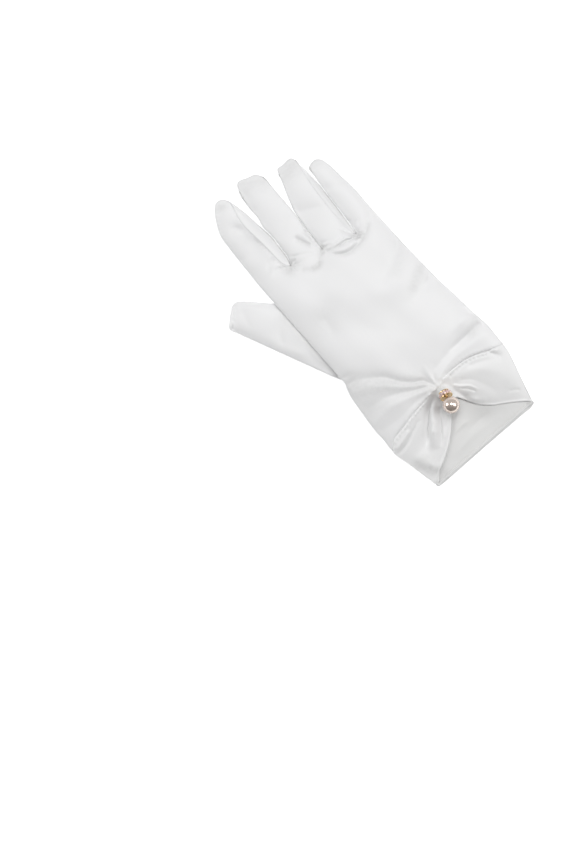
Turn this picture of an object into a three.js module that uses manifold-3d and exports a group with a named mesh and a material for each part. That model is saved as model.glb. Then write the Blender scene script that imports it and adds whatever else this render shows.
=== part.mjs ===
// A short bridal glove for the right hand, in white stretch satin, lying on its palm with its back up.
// It is sewn from a back panel, a palm panel, three gussets between the fingers, a set-in thumb and
// a cuff. The back of the cuff is drawn up to a stitched gather, which leaves a V of bare palm cloth
// below it, and a pearl hangs there from a gold spacer. Millimetres, +Z up, +Y to the fingertips,
// thumb on the -X side. The tables below are drawn with the hem at y = 0 and x = 0 down the middle of
// the back, and the whole group is then moved so that its origin is the middle of its footprint.
import * as THREE from "three";
import { mergeVertices } from "three/addons/utils/BufferGeometryUtils.js";
import Module from "manifold-3d";

const WALL = 1.2; // the cloth
const GAP = 0.3; // left at every seam and between a bead and what it sits on
const DOME = 3; // power of a section's rounding: 2 is an ellipse, more is a flatter top
const FLATTENED = 1.08; // how much fuller the underside is, which leaves its middle flat

// The hand and cuff from hem to knuckles: the side edges, the top of the crown, the height of each
// side seam, and how far the palm's thumb side is lifted for the thumb to lie beneath it.
const HAND = [
  { y: 0, left: -39, right: 40, crown: 8, leftSeam: 2.4, rightSeam: 2.4, lift: 0 },
  { y: 10, left: -41.5, right: 43, crown: 8.8, leftSeam: 3, rightSeam: 3, lift: 0 },
  { y: 22, left: -43.9, right: 46.5, crown: 9.2, leftSeam: 3.6, rightSeam: 3.6, lift: 0 },
  { y: 35, left: -46.6, right: 49.7, crown: 9.8, leftSeam: 4, rightSeam: 4, lift: 0 },
  { y: 46, left: -46.4, right: 50.7, crown: 10.4, leftSeam: 4.2, rightSeam: 4.2, lift: 0 },
  { y: 60, left: -46.3, right: 50.9, crown: 11.6, leftSeam: 4.4, rightSeam: 4.4, lift: 0 },
  { y: 72, left: -45, right: 49.2, crown: 12.8, leftSeam: 5, rightSeam: 4.5, lift: 0 },
  { y: 82, left: -43.5, right: 48.5, crown: 13.8, leftSeam: 6.6, rightSeam: 4.6, lift: 2 },
  { y: 92, left: -41.4, right: 47.5, crown: 14.6, leftSeam: 9.2, rightSeam: 4.6, lift: 6.6 },
  { y: 104, left: -41, right: 46.6, crown: 15, leftSeam: 10.6, rightSeam: 4.6, lift: 8 },
  { y: 122, left: -41, right: 45.6, crown: 15, leftSeam: 10.6, rightSeam: 4.6, lift: 8 },
  { y: 140, left: -41, right: 45.2, crown: 13.4, leftSeam: 10, rightSeam: 4.2, lift: 7.6 },
  { y: 152, left: -41.2, right: 45.1, crown: 11.4, leftSeam: 8.2, rightSeam: 3.9, lift: 5.6 },
  { y: 162, left: -41.2, right: 44.8, crown: 9.8, leftSeam: 5, rightSeam: 3.7, lift: 1.2 },
  { y: 174, left: -41, right: 44.6, crown: 9.2, leftSeam: 3.7, rightSeam: 3.7, lift: 0 },
];

// Each finger from inside the knuckles to its tip, as it lies in plan, with the height of its back
// and the lift of its underside. Then the height of its side seams, and the crotches between fingers.
const FINGERS = {
  index: [
    { y: 156, left: -40.6, right: -16.6, top: 9.8, lift: 0.6 },
    { y: 170, left: -41, right: -16, top: 9.5, lift: 0 },
    { y: 190, left: -40.2, right: -15.9, top: 9.2, lift: 0 },
    { y: 203, left: -39.1, right: -16.1, top: 9, lift: 0 },
    { y: 211, left: -37.9, right: -17, top: 8.6, lift: 0 },
    { y: 218.5, left: -34.2, right: -18.4, top: 7.9, lift: 0.2 },
    { y: 224.5, left: -30, right: -20.4, top: 7, lift: 0.7 },
    { y: 227.6, left: -27.2, right: -22.6, top: 5.8, lift: 1.4 },
  ],
  middle: [
    { y: 150, left: -14.8, right: 4.6, top: 9.8, lift: 0 },
    { y: 166, left: -15.4, right: 4.7, top: 9.4, lift: 0 },
    { y: 184, left: -15.3, right: 5.9, top: 9.1, lift: 0 },
    { y: 194, left: -15.3, right: 6.4, top: 9, lift: 0 },
    { y: 201, left: -12.8, right: 6.9, top: 8.8, lift: 0 },
    { y: 212, left: -13.2, right: 7.2, top: 8.6, lift: 0 },
    { y: 219.5, left: -12.2, right: 6.8, top: 8, lift: 0.2 },
    { y: 224.6, left: -10.4, right: 3.3, top: 7.2, lift: 0.6 },
    { y: 228.4, left: -8.4, right: -5, top: 6, lift: 1.4 },
  ],
  ring: [
    { y: 144, left: 5.3, right: 26.6, top: 9.8, lift: 0 },
    { y: 160, left: 5.1, right: 27.6, top: 9.4, lift: 0 },
    { y: 178, left: 6.2, right: 29.4, top: 9, lift: 0 },
    { y: 190, left: 7, right: 29.9, top: 8.8, lift: 0 },
    { y: 201, left: 10, right: 29.8, top: 8.4, lift: 0 },
    { y: 210, left: 13.2, right: 29, top: 7.8, lift: 0.1 },
    { y: 215.5, left: 14.9, right: 28.7, top: 7, lift: 0.5 },
    { y: 217.8, left: 16.2, right: 27.8, top: 5.8, lift: 1.3 },
  ],
  little: [
    { y: 140, left: 27.2, right: 44.4, top: 9.4, lift: 0 },
    { y: 156, left: 28.2, right: 44.8, top: 9, lift: 0 },
    { y: 176, left: 29.9, right: 44.5, top: 8.6, lift: 0 },
    { y: 192, left: 30.5, right: 43.7, top: 8.2, lift: 0 },
    { y: 200, left: 31, right: 42.5, top: 7.8, lift: 0.1 },
    { y: 204.6, left: 31.6, right: 41.4, top: 7, lift: 0.5 },
    { y: 206.9, left: 33.2, right: 39.4, top: 5.8, lift: 1.3 },
  ],
};
const FINGER_SEAM = 3.7;
const CROTCHES = [
  { x: -15.7, y: 166 },
  { x: 4.9, y: 160.3 },
  { x: 27.3, y: 154.1 },
];

// The thumb from under the palm to its squared tip: sections between an outer and an inner edge.
const THUMB = [
  { outerX: -20, outerY: 68, innerX: 0, innerY: 126, top: 7.6, lift: 0 },
  { outerX: -41.6, outerY: 92.5, innerX: -30, innerY: 147, top: 7.6, lift: 0 },
  { outerX: -50.6, outerY: 112.5, innerX: -41, innerY: 155.5, top: 7.6, lift: 0 },
  { outerX: -60.2, outerY: 133.5, innerX: -48.6, innerY: 164, top: 7.8, lift: 0 },
  { outerX: -67.6, outerY: 150, innerX: -53.6, innerY: 169.4, top: 7.6, lift: 0.1 },
  { outerX: -71.8, outerY: 159.4, innerX: -58, innerY: 171.6, top: 6.8, lift: 0.6 },
  { outerX: -72.9, outerY: 162.4, innerX: -61.4, innerY: 172.4, top: 5.6, lift: 1.3 },
];

// Where the cuff is sewn to the hand across the back and the palm, and where the hem of its back runs
// once it is drawn up.
const BACK_SEAM = [
  { x: -46.5, y: 37 },
  { x: -30, y: 43.4 },
  { x: -12, y: 46.6 },
  { x: 1, y: 48 },
  { x: 14, y: 50.8 },
  { x: 25, y: 50 },
  { x: 37, y: 45.6 },
  { x: 50.5, y: 41.5 },
];
const PALM_SEAM = [
  { x: -46.5, y: 37 },
  { x: -44, y: 38 },
  { x: -30, y: 39.6 },
  { x: 34, y: 43 },
  { x: 47.5, y: 42.4 },
  { x: 50.5, y: 41.5 },
];
const BACK_HEM = [
  { x: -39, y: 0.6 },
  { x: -27, y: 9 },
  { x: -14, y: 19 },
  { x: -4, y: 28.6 },
  { x: 1.5, y: 38.5 },
  { x: 7, y: 31.4 },
  { x: 14, y: 21.6 },
  { x: 24, y: 14.2 },
  { x: 34, y: 6.8 },
  { x: 40, y: 1.4 },
];

// The main folds and dents of the back: from one end to the other, the height they add (less than
// nothing for a dent) and their half width, which narrows to the `to` end.
const FOLDS = [
  { what: "gather pit", from: [1.5, 48], to: [1.5, 40.5], height: -3, width: 6.5, narrow: 1 },
  { what: "bunched edge", from: [-3, 32.5], to: [5, 35], height: 1.2, width: 4.5, narrow: 1 },
  { what: "thumb crease", from: [-38, 92], to: [-1, 52], height: -1.8, width: 6.5, narrow: 0.6 },
  { what: "ridge under it", from: [-44, 80], to: [-6, 56], height: 1, width: 7, narrow: 0.6 },
  { what: "left wrist crease", from: [-40, 64], to: [-6, 53], height: -1.4, width: 6, narrow: 0.6 },
  { what: "left pleat", from: [-44, 36], to: [-10, 44], height: 1.2, width: 4.5, narrow: 0.5 },
  { what: "left cuff valley", from: [-28, 24], to: [-7, 42], height: -1.4, width: 4.5, narrow: 0.6 },
  { what: "left cuff ridge", from: [-23, 21], to: [-6, 38], height: 1.2, width: 4, narrow: 0.6 },
  { what: "right pleat", from: [42, 42], to: [12, 50], height: 1.1, width: 4.5, narrow: 0.6 },
  { what: "right cuff valley", from: [40, 36], to: [12, 46], height: -1, width: 5.5, narrow: 0.6 },
  { what: "right cuff ridge", from: [24, 26], to: [8, 40], height: 1, width: 5, narrow: 0.6 },
  { what: "first knuckle crease", from: [-17, 164], to: [4, 159], height: -1.6, width: 6, narrow: 1 },
  { what: "second knuckle crease", from: [4, 158], to: [27, 151], height: -1.6, width: 6, narrow: 1 },
];

// The drop on the gather: a gold spacer and a pearl on one hidden pin, lying towards the hem.
const DROP_HEAD = new THREE.Vector3(2, 43.3, 12.65);
const DROP_WAY = new THREE.Vector3(-0.19, -0.9, 0.39).normalize();
const PEARL_RADIUS = 5.5;
const SPACER = { radius: 4.3, coreRadius: 3.7, flange: 0.7, length: 4.2 };
const BORE_RADIUS = 0.8;
const PIN_RADIUS = BORE_RADIUS - GAP;
const PIN_IN_PEARL = 6;
const PIN_TAIL = 0.4; // stands out of the spacer into the gather
const PEARL_START = SPACER.length + GAP;

const { lerp, smoothstep } = THREE.MathUtils;

const wasm = await Module();
wasm.setup();

// The value of one column of a table at a place along another, on a smooth curve through its rows.
function along(table, key, place, by = "y") {
  const last = table.length - 1;
  if (place <= table[0][by]) return table[0][key];
  if (place >= table[last][by]) return table[last][key];
  const i = table.findIndex((row) => row[by] > place) - 1;
  const [a, b] = [table[i], table[i + 1]];
  const before = table[Math.max(i - 1, 0)];
  const after = table[Math.min(i + 2, last)];
  const step = b[by] - a[by];
  const slopeIn = ((b[key] - before[key]) / (b[by] - before[by])) * step;
  const slopeOut = ((after[key] - a[key]) / (after[by] - a[by])) * step;
  const t = (place - a[by]) / step;
  const rise = b[key] - a[key];
  return a[key] + slopeIn * t + (3 * rise - 2 * slopeIn - slopeOut) * t * t +
    (slopeIn + slopeOut - 2 * rise) * t ** 3;
}

// How much all the folds raise or sink the back at a point.
function foldHeight(x, y) {
  let height = 0;
  for (const fold of FOLDS) {
    const [ax, ay] = fold.from;
    const [dx, dy] = [fold.to[0] - ax, fold.to[1] - ay];
    const t = THREE.MathUtils.clamp(((x - ax) * dx + (y - ay) * dy) / (dx * dx + dy * dy), 0, 1);
    const away = Math.hypot(x - ax - t * dx, y - ay - t * dy) / (fold.width * lerp(1, fold.narrow, t));
    height += fold.height * Math.exp(-away * away);
  }
  return height;
}

// How full a section is at a place across it: rounded over the back, flat along the middle beneath.
const dome = (across) => Math.max(1 - Math.abs(across) ** DOME, 0) ** (1 / DOME);
const sole = (across) => Math.min(dome(across) * FLATTENED, 1);

// The points of one closed section, over the back from right to left and home underneath. `place`
// gives the point for a place across it, -1 at the left side to 1 at the right, over or under.
function sectionOf(steps, place) {
  const points = [];
  for (let i = 0; i < 2 * steps; i++) {
    const across = Math.cos((i / steps) * Math.PI);
    points.push(place(across, i <= steps));
  }
  return points;
}

// A solid skinned over closed sections, with flat ends.
function skinned(rings) {
  const count = rings[0].length;
  const corners = rings.flat();
  const faces = [];
  for (let k = 0; k < rings.length - 1; k++) {
    for (let i = 0; i < count; i++) {
      const [a, b] = [k * count + i, k * count + ((i + 1) % count)];
      faces.push(a, b + count, b, a, a + count, b + count);
    }
  }
  for (const [k, turn] of [[0, false], [rings.length - 1, true]]) {
    const middle = rings[k].reduce((sum, p) => sum.add(p), new THREE.Vector3()).divideScalar(count);
    const hub = corners.push(middle) - 1;
    for (let i = 0; i < count; i++) {
      const [a, b] = [k * count + i, k * count + ((i + 1) % count)];
      faces.push(hub, ...(turn ? [b, a] : [a, b]));
    }
  }
  return meshed(corners, faces);
}

// A tube of cloth between an outer and an inner stack of closed sections, open at both ends.
function tubed(outer, inner) {
  const count = outer[0].length;
  const layer = outer.length * count;
  const corners = [...outer.flat(), ...inner.flat()];
  const faces = [];
  const quad = (a, b, c, d) => faces.push(a, b, c, a, c, d);
  for (let i = 0; i < count; i++) {
    const j = (i + 1) % count;
    for (let k = 0; k < outer.length - 1; k++) {
      const [a, b, up] = [k * count + i, k * count + j, count];
      quad(a, a + up, b + up, b);
      quad(layer + a, layer + b, layer + b + up, layer + a + up);
    }
    const end = (outer.length - 1) * count;
    quad(i, j, layer + j, layer + i);
    quad(end + j, end + i, layer + end + i, layer + end + j);
  }
  return meshed(corners, faces);
}

function meshed(corners, faces) {
  return new wasm.Manifold(
    new wasm.Mesh({
      numProp: 3,
      vertProperties: new Float32Array(corners.flatMap((p) => [p.x, p.y, p.z])),
      triVerts: new Uint32Array(faces),
    }),
  );
}

function solidFrom(geometry) {
  const bare = geometry.clone();
  bare.deleteAttribute("normal");
  bare.deleteAttribute("uv");
  const merged = mergeVertices(bare, 1e-4);
  return new wasm.Manifold(
    new wasm.Mesh({
      numProp: 3,
      vertProperties: merged.attributes.position.array,
      triVerts: new Uint32Array(merged.index.array),
    }),
  );
}

function geometryOf(solid) {
  const { vertProperties, triVerts } = whole(solid).getMesh();
  const geometry = new THREE.BufferGeometry();
  geometry.setAttribute("position", new THREE.BufferAttribute(vertProperties, 3));
  geometry.setIndex(new THREE.BufferAttribute(triVerts, 1));
  geometry.computeVertexNormals();
  return geometry;
}

const joined = (solids) => solids.reduce((all, one) => all.add(one));

// A cut can leave a sliver beside the piece, which is dropped.
const whole = (solid) => solid.decompose().reduce((a, b) => (b.volume() > a.volume() ? b : a));

// The hand and the cuff share one form. `ringY` gives how far up the glove each point of a section
// lies, and `grow` swells the form, or shrinks it to the hollow inside.
const HAND_STEPS = 17;
const LIFTED_FROM = 0.5; // how far out from the middle the palm starts to rise over the thumb

function handSection(ringY, grow) {
  const leftX = along(HAND, "left", ringY(BACK_SEAM[0].x, true)) - grow;
  const rightX = along(HAND, "right", ringY(BACK_SEAM[BACK_SEAM.length - 1].x, true)) + grow;
  return sectionOf(HAND_STEPS, (across, over) => {
    const x = lerp(leftX, rightX, (across + 1) / 2);
    const y = ringY(x, over);
    const seam = seamHeight(across, y);
    if (over) {
      const round = dome(across);
      const crown = along(HAND, "crown", y) + grow;
      return new THREE.Vector3(x, y, seam + (crown - seam) * round + foldHeight(x, y) * round);
    }
    const lifted = Math.max(along(HAND, "lift", y), 0) * smoothstep(-across, LIFTED_FROM, 1) - grow;
    return new THREE.Vector3(x, y, seam - (seam - lifted) * sole(across));
  });
}

function seamHeight(across, y) {
  return lerp(along(HAND, "leftSeam", y), along(HAND, "rightSeam", y), (across + 1) / 2);
}

const seamLine = (x, over) => along(over ? BACK_SEAM : PALM_SEAM, "y", x, "x");

// The rings above the cuff's seam straighten by WRIST_TOP, and slant again from SLANT_FROM to the row
// of knuckles, which slants as the crotches of the fingers do.
const WRIST_TOP = 74;
const WRIST_RINGS = 4;
const HAND_RINGS = [84, 94, 104, 116, 128, 140, 150, 157];
const SLANT_FROM = 120;
const KNUCKLES_Y = CROTCHES[1].y;
const KNUCKLE_SLANT = (CROTCHES[2].y - CROTCHES[0].y) / (CROTCHES[2].x - CROTCHES[0].x);

// The hollow runs on past the open wrist, and the outer form turns in there square to the seam.
function handSolid(grow) {
  const rings = [];
  if (grow < 0) {
    rings.push(handSection((x, over) => seamLine(x, over) - WALL, grow));
  } else {
    rings.push(handSection(seamLine, grow - 2 * WALL));
  }
  for (let k = 0; k < WRIST_RINGS; k++) {
    rings.push(handSection((x, over) => lerp(seamLine(x, over), WRIST_TOP, k / WRIST_RINGS), grow));
  }
  for (const y of [WRIST_TOP, ...HAND_RINGS, KNUCKLES_Y + Math.min(grow, 0)]) {
    const slant = KNUCKLE_SLANT * smoothstep(y, SLANT_FROM, KNUCKLES_Y - WALL);
    rings.push(handSection((x) => y + (x - CROTCHES[1].x) * slant, grow));
  }
  return skinned(rings);
}

const FINGER_STEPS = 7;

// The height of a point round a finger or thumb.
function heightIn(row, seam, grow, across, over) {
  if (over) return seam + (row.top + grow - seam) * dome(across);
  return seam - (seam - row.lift + grow) * sole(across);
}

function fingerSolid(rows, grow) {
  const tip = rows.length - 1;
  const rings = rows.map((row, k) => {
    const y = row.y + (k === tip ? grow : 0);
    return sectionOf(FINGER_STEPS, (across, over) => {
      const x = lerp(row.left - grow, row.right + grow, (across + 1) / 2);
      return new THREE.Vector3(x, y, heightIn(row, FINGER_SEAM, grow, across, over));
    });
  });
  return skinned(rings);
}

const THUMB_STEPS = 10;
const THUMB_SEAM = 3.6;

function thumbSolid(grow) {
  const rings = THUMB.map((row, k) => {
    const outer = new THREE.Vector2(row.outerX, row.outerY);
    const inner = new THREE.Vector2(row.innerX, row.innerY);
    const way = inner.clone().sub(outer).normalize();
    const ahead = new THREE.Vector2(-way.y, way.x).multiplyScalar(k === THUMB.length - 1 ? grow : 0);
    outer.addScaledVector(way, -grow).add(ahead);
    inner.addScaledVector(way, grow).add(ahead);
    return sectionOf(THUMB_STEPS, (across, over) => {
      const flat = outer.clone().lerp(inner, (across + 1) / 2);
      return new THREE.Vector3(flat.x, flat.y, heightIn(row, THUMB_SEAM, grow, across, over));
    });
  });
  return skinned(rings);
}

const CUFF_ROWS = 6;

function cuffRings(grow) {
  const rings = [];
  for (let k = 0; k <= CUFF_ROWS; k++) {
    const ringY = (x, over) => {
      const hem = over ? along(BACK_HEM, "y", x, "x") : 0;
      return lerp(seamLine(x, over) - GAP, hem, k / CUFF_ROWS);
    };
    rings.push(handSection(ringY, grow));
  }
  return rings.reverse();
}

// A block over or under the side seams, to part the back from the palm.
const BLOCK = { left: -60, right: 65, from: 30, to: 235, step: 5, far: 40 };

function sideOfSeams(over) {
  const sections = [];
  const [leftX, rightX] = [BLOCK.left, BLOCK.right];
  const edge = over ? BLOCK.far : -BLOCK.far;
  const shift = over ? GAP / 2 : -GAP / 2;
  for (let y = BLOCK.from; y <= BLOCK.to; y += BLOCK.step) {
    const leftZ = seamHeight(-1, y) + shift;
    const rightZ = seamHeight(1, y) + shift;
    const ring = [
      new THREE.Vector3(leftX, y, leftZ),
      new THREE.Vector3(along(HAND, "left", y), y, leftZ),
      new THREE.Vector3(along(HAND, "right", y), y, rightZ),
      new THREE.Vector3(rightX, y, rightZ),
      new THREE.Vector3(rightX, y, edge),
      new THREE.Vector3(leftX, y, edge),
    ];
    sections.push(over ? ring : ring.reverse());
  }
  return skinned(sections);
}

// The slab of side wall that a gusset takes between two neighbouring fingers, from their crotch to
// short of each tip. It stays clear of the middle of each finger, where the next gusset comes near.
const GUSSET = { low: 1.9, high: 5.5, below: 7, shortOfTip: 6, clear: 1.5 };

function gussetZone(left, right, crotch, grow) {
  const middle = (rows, y) => (along(rows, "left", y) + along(rows, "right", y)) / 2;
  const inLeft = (y) => middle(left, y) + GUSSET.clear;
  const inRight = (y) => middle(right, y) - GUSSET.clear;
  const reach = (rows) => rows[rows.length - 1].y - GUSSET.shortOfTip + grow;
  const foot = crotch.y - GUSSET.below - grow;
  const outline = [
    [inLeft(crotch.y), foot],
    [inRight(crotch.y), foot],
    [inRight(reach(right)), reach(right)],
    [crotch.x, Math.min(reach(left), reach(right))],
    [inLeft(reach(left)), reach(left)],
  ];
  const shape = new THREE.Shape(outline.map(([x, y]) => new THREE.Vector2(x, y)));
  const depth = GUSSET.high - GUSSET.low + 2 * grow;
  const slab = new THREE.ExtrudeGeometry(shape, { depth, bevelEnabled: false });
  slab.translate(0, 0, GUSSET.low - grow);
  return solidFrom(slab);
}

// A turned piece of the drop: its profile runs along the drop's way, from the head.
const TURN_STEPS = 24;
const PEARL_STEPS = 14;

function turned(profile, start) {
  const points = profile.map(([radius, length]) => new THREE.Vector2(radius, length));
  const geometry = new THREE.LatheGeometry(points, TURN_STEPS);
  const turn = new THREE.Quaternion().setFromUnitVectors(new THREE.Vector3(0, 1, 0), DROP_WAY);
  geometry.applyQuaternion(turn);
  geometry.translate(...DROP_HEAD.clone().addScaledVector(DROP_WAY, start).toArray());
  return geometry;
}

function spacerGeometry() {
  const { radius, coreRadius, flange, length } = SPACER;
  return turned([
    [BORE_RADIUS, 0],
    [radius, 0],
    [radius, flange],
    [coreRadius, flange],
    [coreRadius, length - flange],
    [radius, length - flange],
    [radius, length],
    [BORE_RADIUS, length],
    [BORE_RADIUS, 0],
  ], 0);
}

function pearlGeometry() {
  const depth = PIN_IN_PEARL + GAP;
  const mouth = Math.asin(BORE_RADIUS / PEARL_RADIUS);
  const profile = [[0, depth], [BORE_RADIUS, depth]];
  for (let i = 0; i <= PEARL_STEPS; i++) {
    const a = lerp(mouth, Math.PI, i / PEARL_STEPS);
    const radius = i === PEARL_STEPS ? 0 : PEARL_RADIUS * Math.sin(a);
    profile.push([radius, PEARL_RADIUS * (1 - Math.cos(a))]);
  }
  return turned(profile, PEARL_START);
}

function pinGeometry() {
  const to = PEARL_START + PIN_IN_PEARL;
  return turned([[0, -PIN_TAIL], [PIN_RADIUS, -PIN_TAIL], [PIN_RADIUS, to], [0, to]], 0);
}

const satin = new THREE.MeshStandardMaterial({ color: 0xf1f1f0, roughness: 0.42, metalness: 0 });
const gold = new THREE.MeshStandardMaterial({ color: 0xd9a860, roughness: 0.25, metalness: 1 });
const nacre = new THREE.MeshStandardMaterial({ color: 0xf0e6dc, roughness: 0.18, metalness: 0 });

const glove = new THREE.Group();

function piece(name, geometry, material) {
  const mesh = new THREE.Mesh(geometry, material);
  mesh.name = name;
  glove.add(mesh);
}

// The hand and fingers are one hollow skin, cut along its seams.
const names = Object.keys(FINGERS);
const formOf = (grow) => joined([handSolid(grow), ...names.map((name) => fingerSolid(FINGERS[name], grow))]);
const skin = formOf(0).subtract(formOf(-WALL));
const thumbHollow = thumbSolid(-WALL);
const gussetPairs = CROTCHES.map((crotch, i) => [FINGERS[names[i]], FINGERS[names[i + 1]], crotch]);
const panels = skin.subtract(joined(gussetPairs.map((pair) => gussetZone(...pair, GAP))));

piece("back_panel", geometryOf(panels.intersect(sideOfSeams(true))), satin);
piece("palm_panel", geometryOf(panels.intersect(sideOfSeams(false)).subtract(thumbHollow)), satin);
gussetPairs.forEach((pair, i) => {
  const gusset = skin.intersect(gussetZone(...pair, 0));
  piece(`gusset_${names[i]}_${names[i + 1]}`, geometryOf(gusset), satin);
});
piece("thumb", geometryOf(thumbSolid(0).subtract(thumbHollow).subtract(formOf(GAP))), satin);
piece("cuff", geometryOf(tubed(cuffRings(0), cuffRings(-WALL))), satin);
piece("spacer", spacerGeometry(), gold);
piece("pearl", pearlGeometry(), nacre);
piece("pearl_pin", pinGeometry(), gold);

// The origin is the middle of the footprint, on the surface that the glove lies on.
const box = new THREE.Box3().setFromObject(glove);
const middle = box.getCenter(new THREE.Vector3());
glove.position.set(-middle.x, -middle.y, -box.min.z);

export default glove;
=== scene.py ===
import math

import bmesh
import bpy
import numpy as np
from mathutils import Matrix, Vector
from mathutils.geometry import delaunay_2d_cdt


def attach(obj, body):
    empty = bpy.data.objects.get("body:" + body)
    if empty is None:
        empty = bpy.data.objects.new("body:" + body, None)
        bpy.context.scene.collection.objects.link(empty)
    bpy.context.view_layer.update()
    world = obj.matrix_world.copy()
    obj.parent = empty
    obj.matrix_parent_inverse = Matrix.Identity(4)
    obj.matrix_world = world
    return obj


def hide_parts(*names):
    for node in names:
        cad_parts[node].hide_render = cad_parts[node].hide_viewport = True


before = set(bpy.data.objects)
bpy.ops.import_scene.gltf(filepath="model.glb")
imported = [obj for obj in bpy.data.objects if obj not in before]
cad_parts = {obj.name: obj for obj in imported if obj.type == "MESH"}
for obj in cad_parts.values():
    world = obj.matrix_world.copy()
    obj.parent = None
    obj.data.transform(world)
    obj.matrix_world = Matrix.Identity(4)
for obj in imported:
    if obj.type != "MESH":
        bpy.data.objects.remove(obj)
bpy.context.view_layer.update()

# Camera. The photograph looks straight down at the table with a long lens, and the glove lies
# askew in it. One pixel is 0.63 mm, so the frame is 544 mm high on the table, and the point in
# the middle of the frame is off the glove's thumb side.
PIXEL = 0.63e-3
FRAME_HEIGHT = 864 * PIXEL
FRAME_MIDDLE = (-0.0771, -0.025, 0.006)
UP_FRAME = Vector((0.6606, 0.7507, 0))
RIGHT_OF_FRAME = Vector((0.7507, -0.6606, 0))
camera = bpy.data.cameras.new("camera")
camera.sensor_width = 36
camera.lens = 200
camera.clip_end = 20
eye = bpy.data.objects.new("camera", camera)
bpy.context.collection.objects.link(eye)
CAMERA_HIGH = FRAME_HEIGHT * camera.lens / camera.sensor_width
eye.location = Vector(FRAME_MIDDLE) + Vector((0, 0, CAMERA_HIGH))
eye.rotation_euler = (0, 0, -math.atan2(UP_FRAME.x, UP_FRAME.y))
bpy.context.scene.camera = eye

# Back panel. One piece of white stretch satin covers the back of the hand and of the four
# fingers. It is sewn to the palm panel round its edge, to the narrow gussets between the
# fingers, and to the cuff at the wrist, where everything is drawn up to one point.

# All plan sizes of the cloth are in mm from the middle of the hem, with y to the fingertips, and
# HEM_TO_ORIGIN takes them to the frame.
HEM_TO_ORIGIN = (10.979, -114.2, 0)
CLOTH = 0.00035  # metres, the thickness of the satin
STEP = 0.6  # mm between the points of a cut's edge
BATCH = 2000  # points that are worked out at a time, to save memory


def smooth_line(points, step):
    """Points about `step` apart on a smooth curve through the given ones."""
    p = np.array(points, float)
    gap = np.linalg.norm(np.diff(p[:, :2], axis=0), axis=1)
    at = np.concatenate([[0], np.cumsum(gap)])
    slope = np.gradient(p, at, axis=0)
    t = np.linspace(0, at[-1], max(int(round(at[-1] / step)), 2) + 1)
    k = np.clip(np.searchsorted(at, t, side="right") - 1, 0, len(gap) - 1)
    s = ((t - at[k]) / gap[k])[:, None]
    h = gap[k][:, None]
    return ((2 * s**3 - 3 * s**2 + 1) * p[k] + (s**3 - 2 * s**2 + s) * h * slope[k]
            + (3 * s**2 - 2 * s**3) * p[k + 1] + (s**3 - s**2) * h * slope[k + 1])


def cut_edge(*runs, step=STEP):
    """The closed edge of a cut: smooth runs that meet at corners. The third number is height."""
    lines = [smooth_line(run, step) for run in runs]
    edge = np.concatenate(lines)
    fresh = np.linalg.norm(edge[:, :2] - np.roll(edge[:, :2], 1, axis=0), axis=1) > 0.05
    return edge[fresh]


def off_line(points, line, closed=False):
    """Distance of each point to a line in plan, and how far along it the nearest place is."""
    a = np.asarray(line, float)[:, :2]
    b = np.roll(a, -1, axis=0) if closed else a[1:]
    a = a if closed else a[:-1]
    ab = b - a
    size = np.maximum((ab**2).sum(1), 1e-12)
    away, along = np.empty(len(points)), np.empty(len(points))
    for first in range(0, len(points), BATCH):
        p = points[first:first + BATCH, None, :2] - a
        t = np.clip((p * ab).sum(2) / size, 0, 1)
        gap = ((p - t[..., None] * ab) ** 2).sum(2)
        k = gap.argmin(1)
        rows = np.arange(len(k))
        away[first:first + BATCH] = np.sqrt(gap[rows, k])
        along[first:first + BATCH] = (k + t[rows, k]) / len(a)
    return away, along


def within(points, edge):
    """True for each point that is inside a closed edge, by counting crossings."""
    a = np.asarray(edge, float)[:, :2]
    b = np.roll(a, -1, axis=0)
    answer = np.empty(len(points), bool)
    for first in range(0, len(points), BATCH):
        p = points[first:first + BATCH]
        x, y = p[:, :1], p[:, 1:2]
        spans = (a[:, 1] > y) != (b[:, 1] > y)
        rise = np.where(b[:, 1] == a[:, 1], 1, b[:, 1] - a[:, 1])
        cross = x < (b[:, 0] - a[:, 0]) * (y - a[:, 1]) / rise + a[:, 0]
        answer[first:first + BATCH] = (spans & cross).sum(1) % 2 == 1
    return answer


def hex_grid(lo, hi, pitch):
    """Evenly spread points over a rectangle."""
    rows = np.arange(lo[1], hi[1], pitch * math.sqrt(0.75))
    x = np.arange(lo[0], hi[0], pitch)
    return np.concatenate([np.stack([x + (k % 2) * pitch / 2, np.full(len(x), y)], 1)
                           for k, y in enumerate(rows)])


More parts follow.
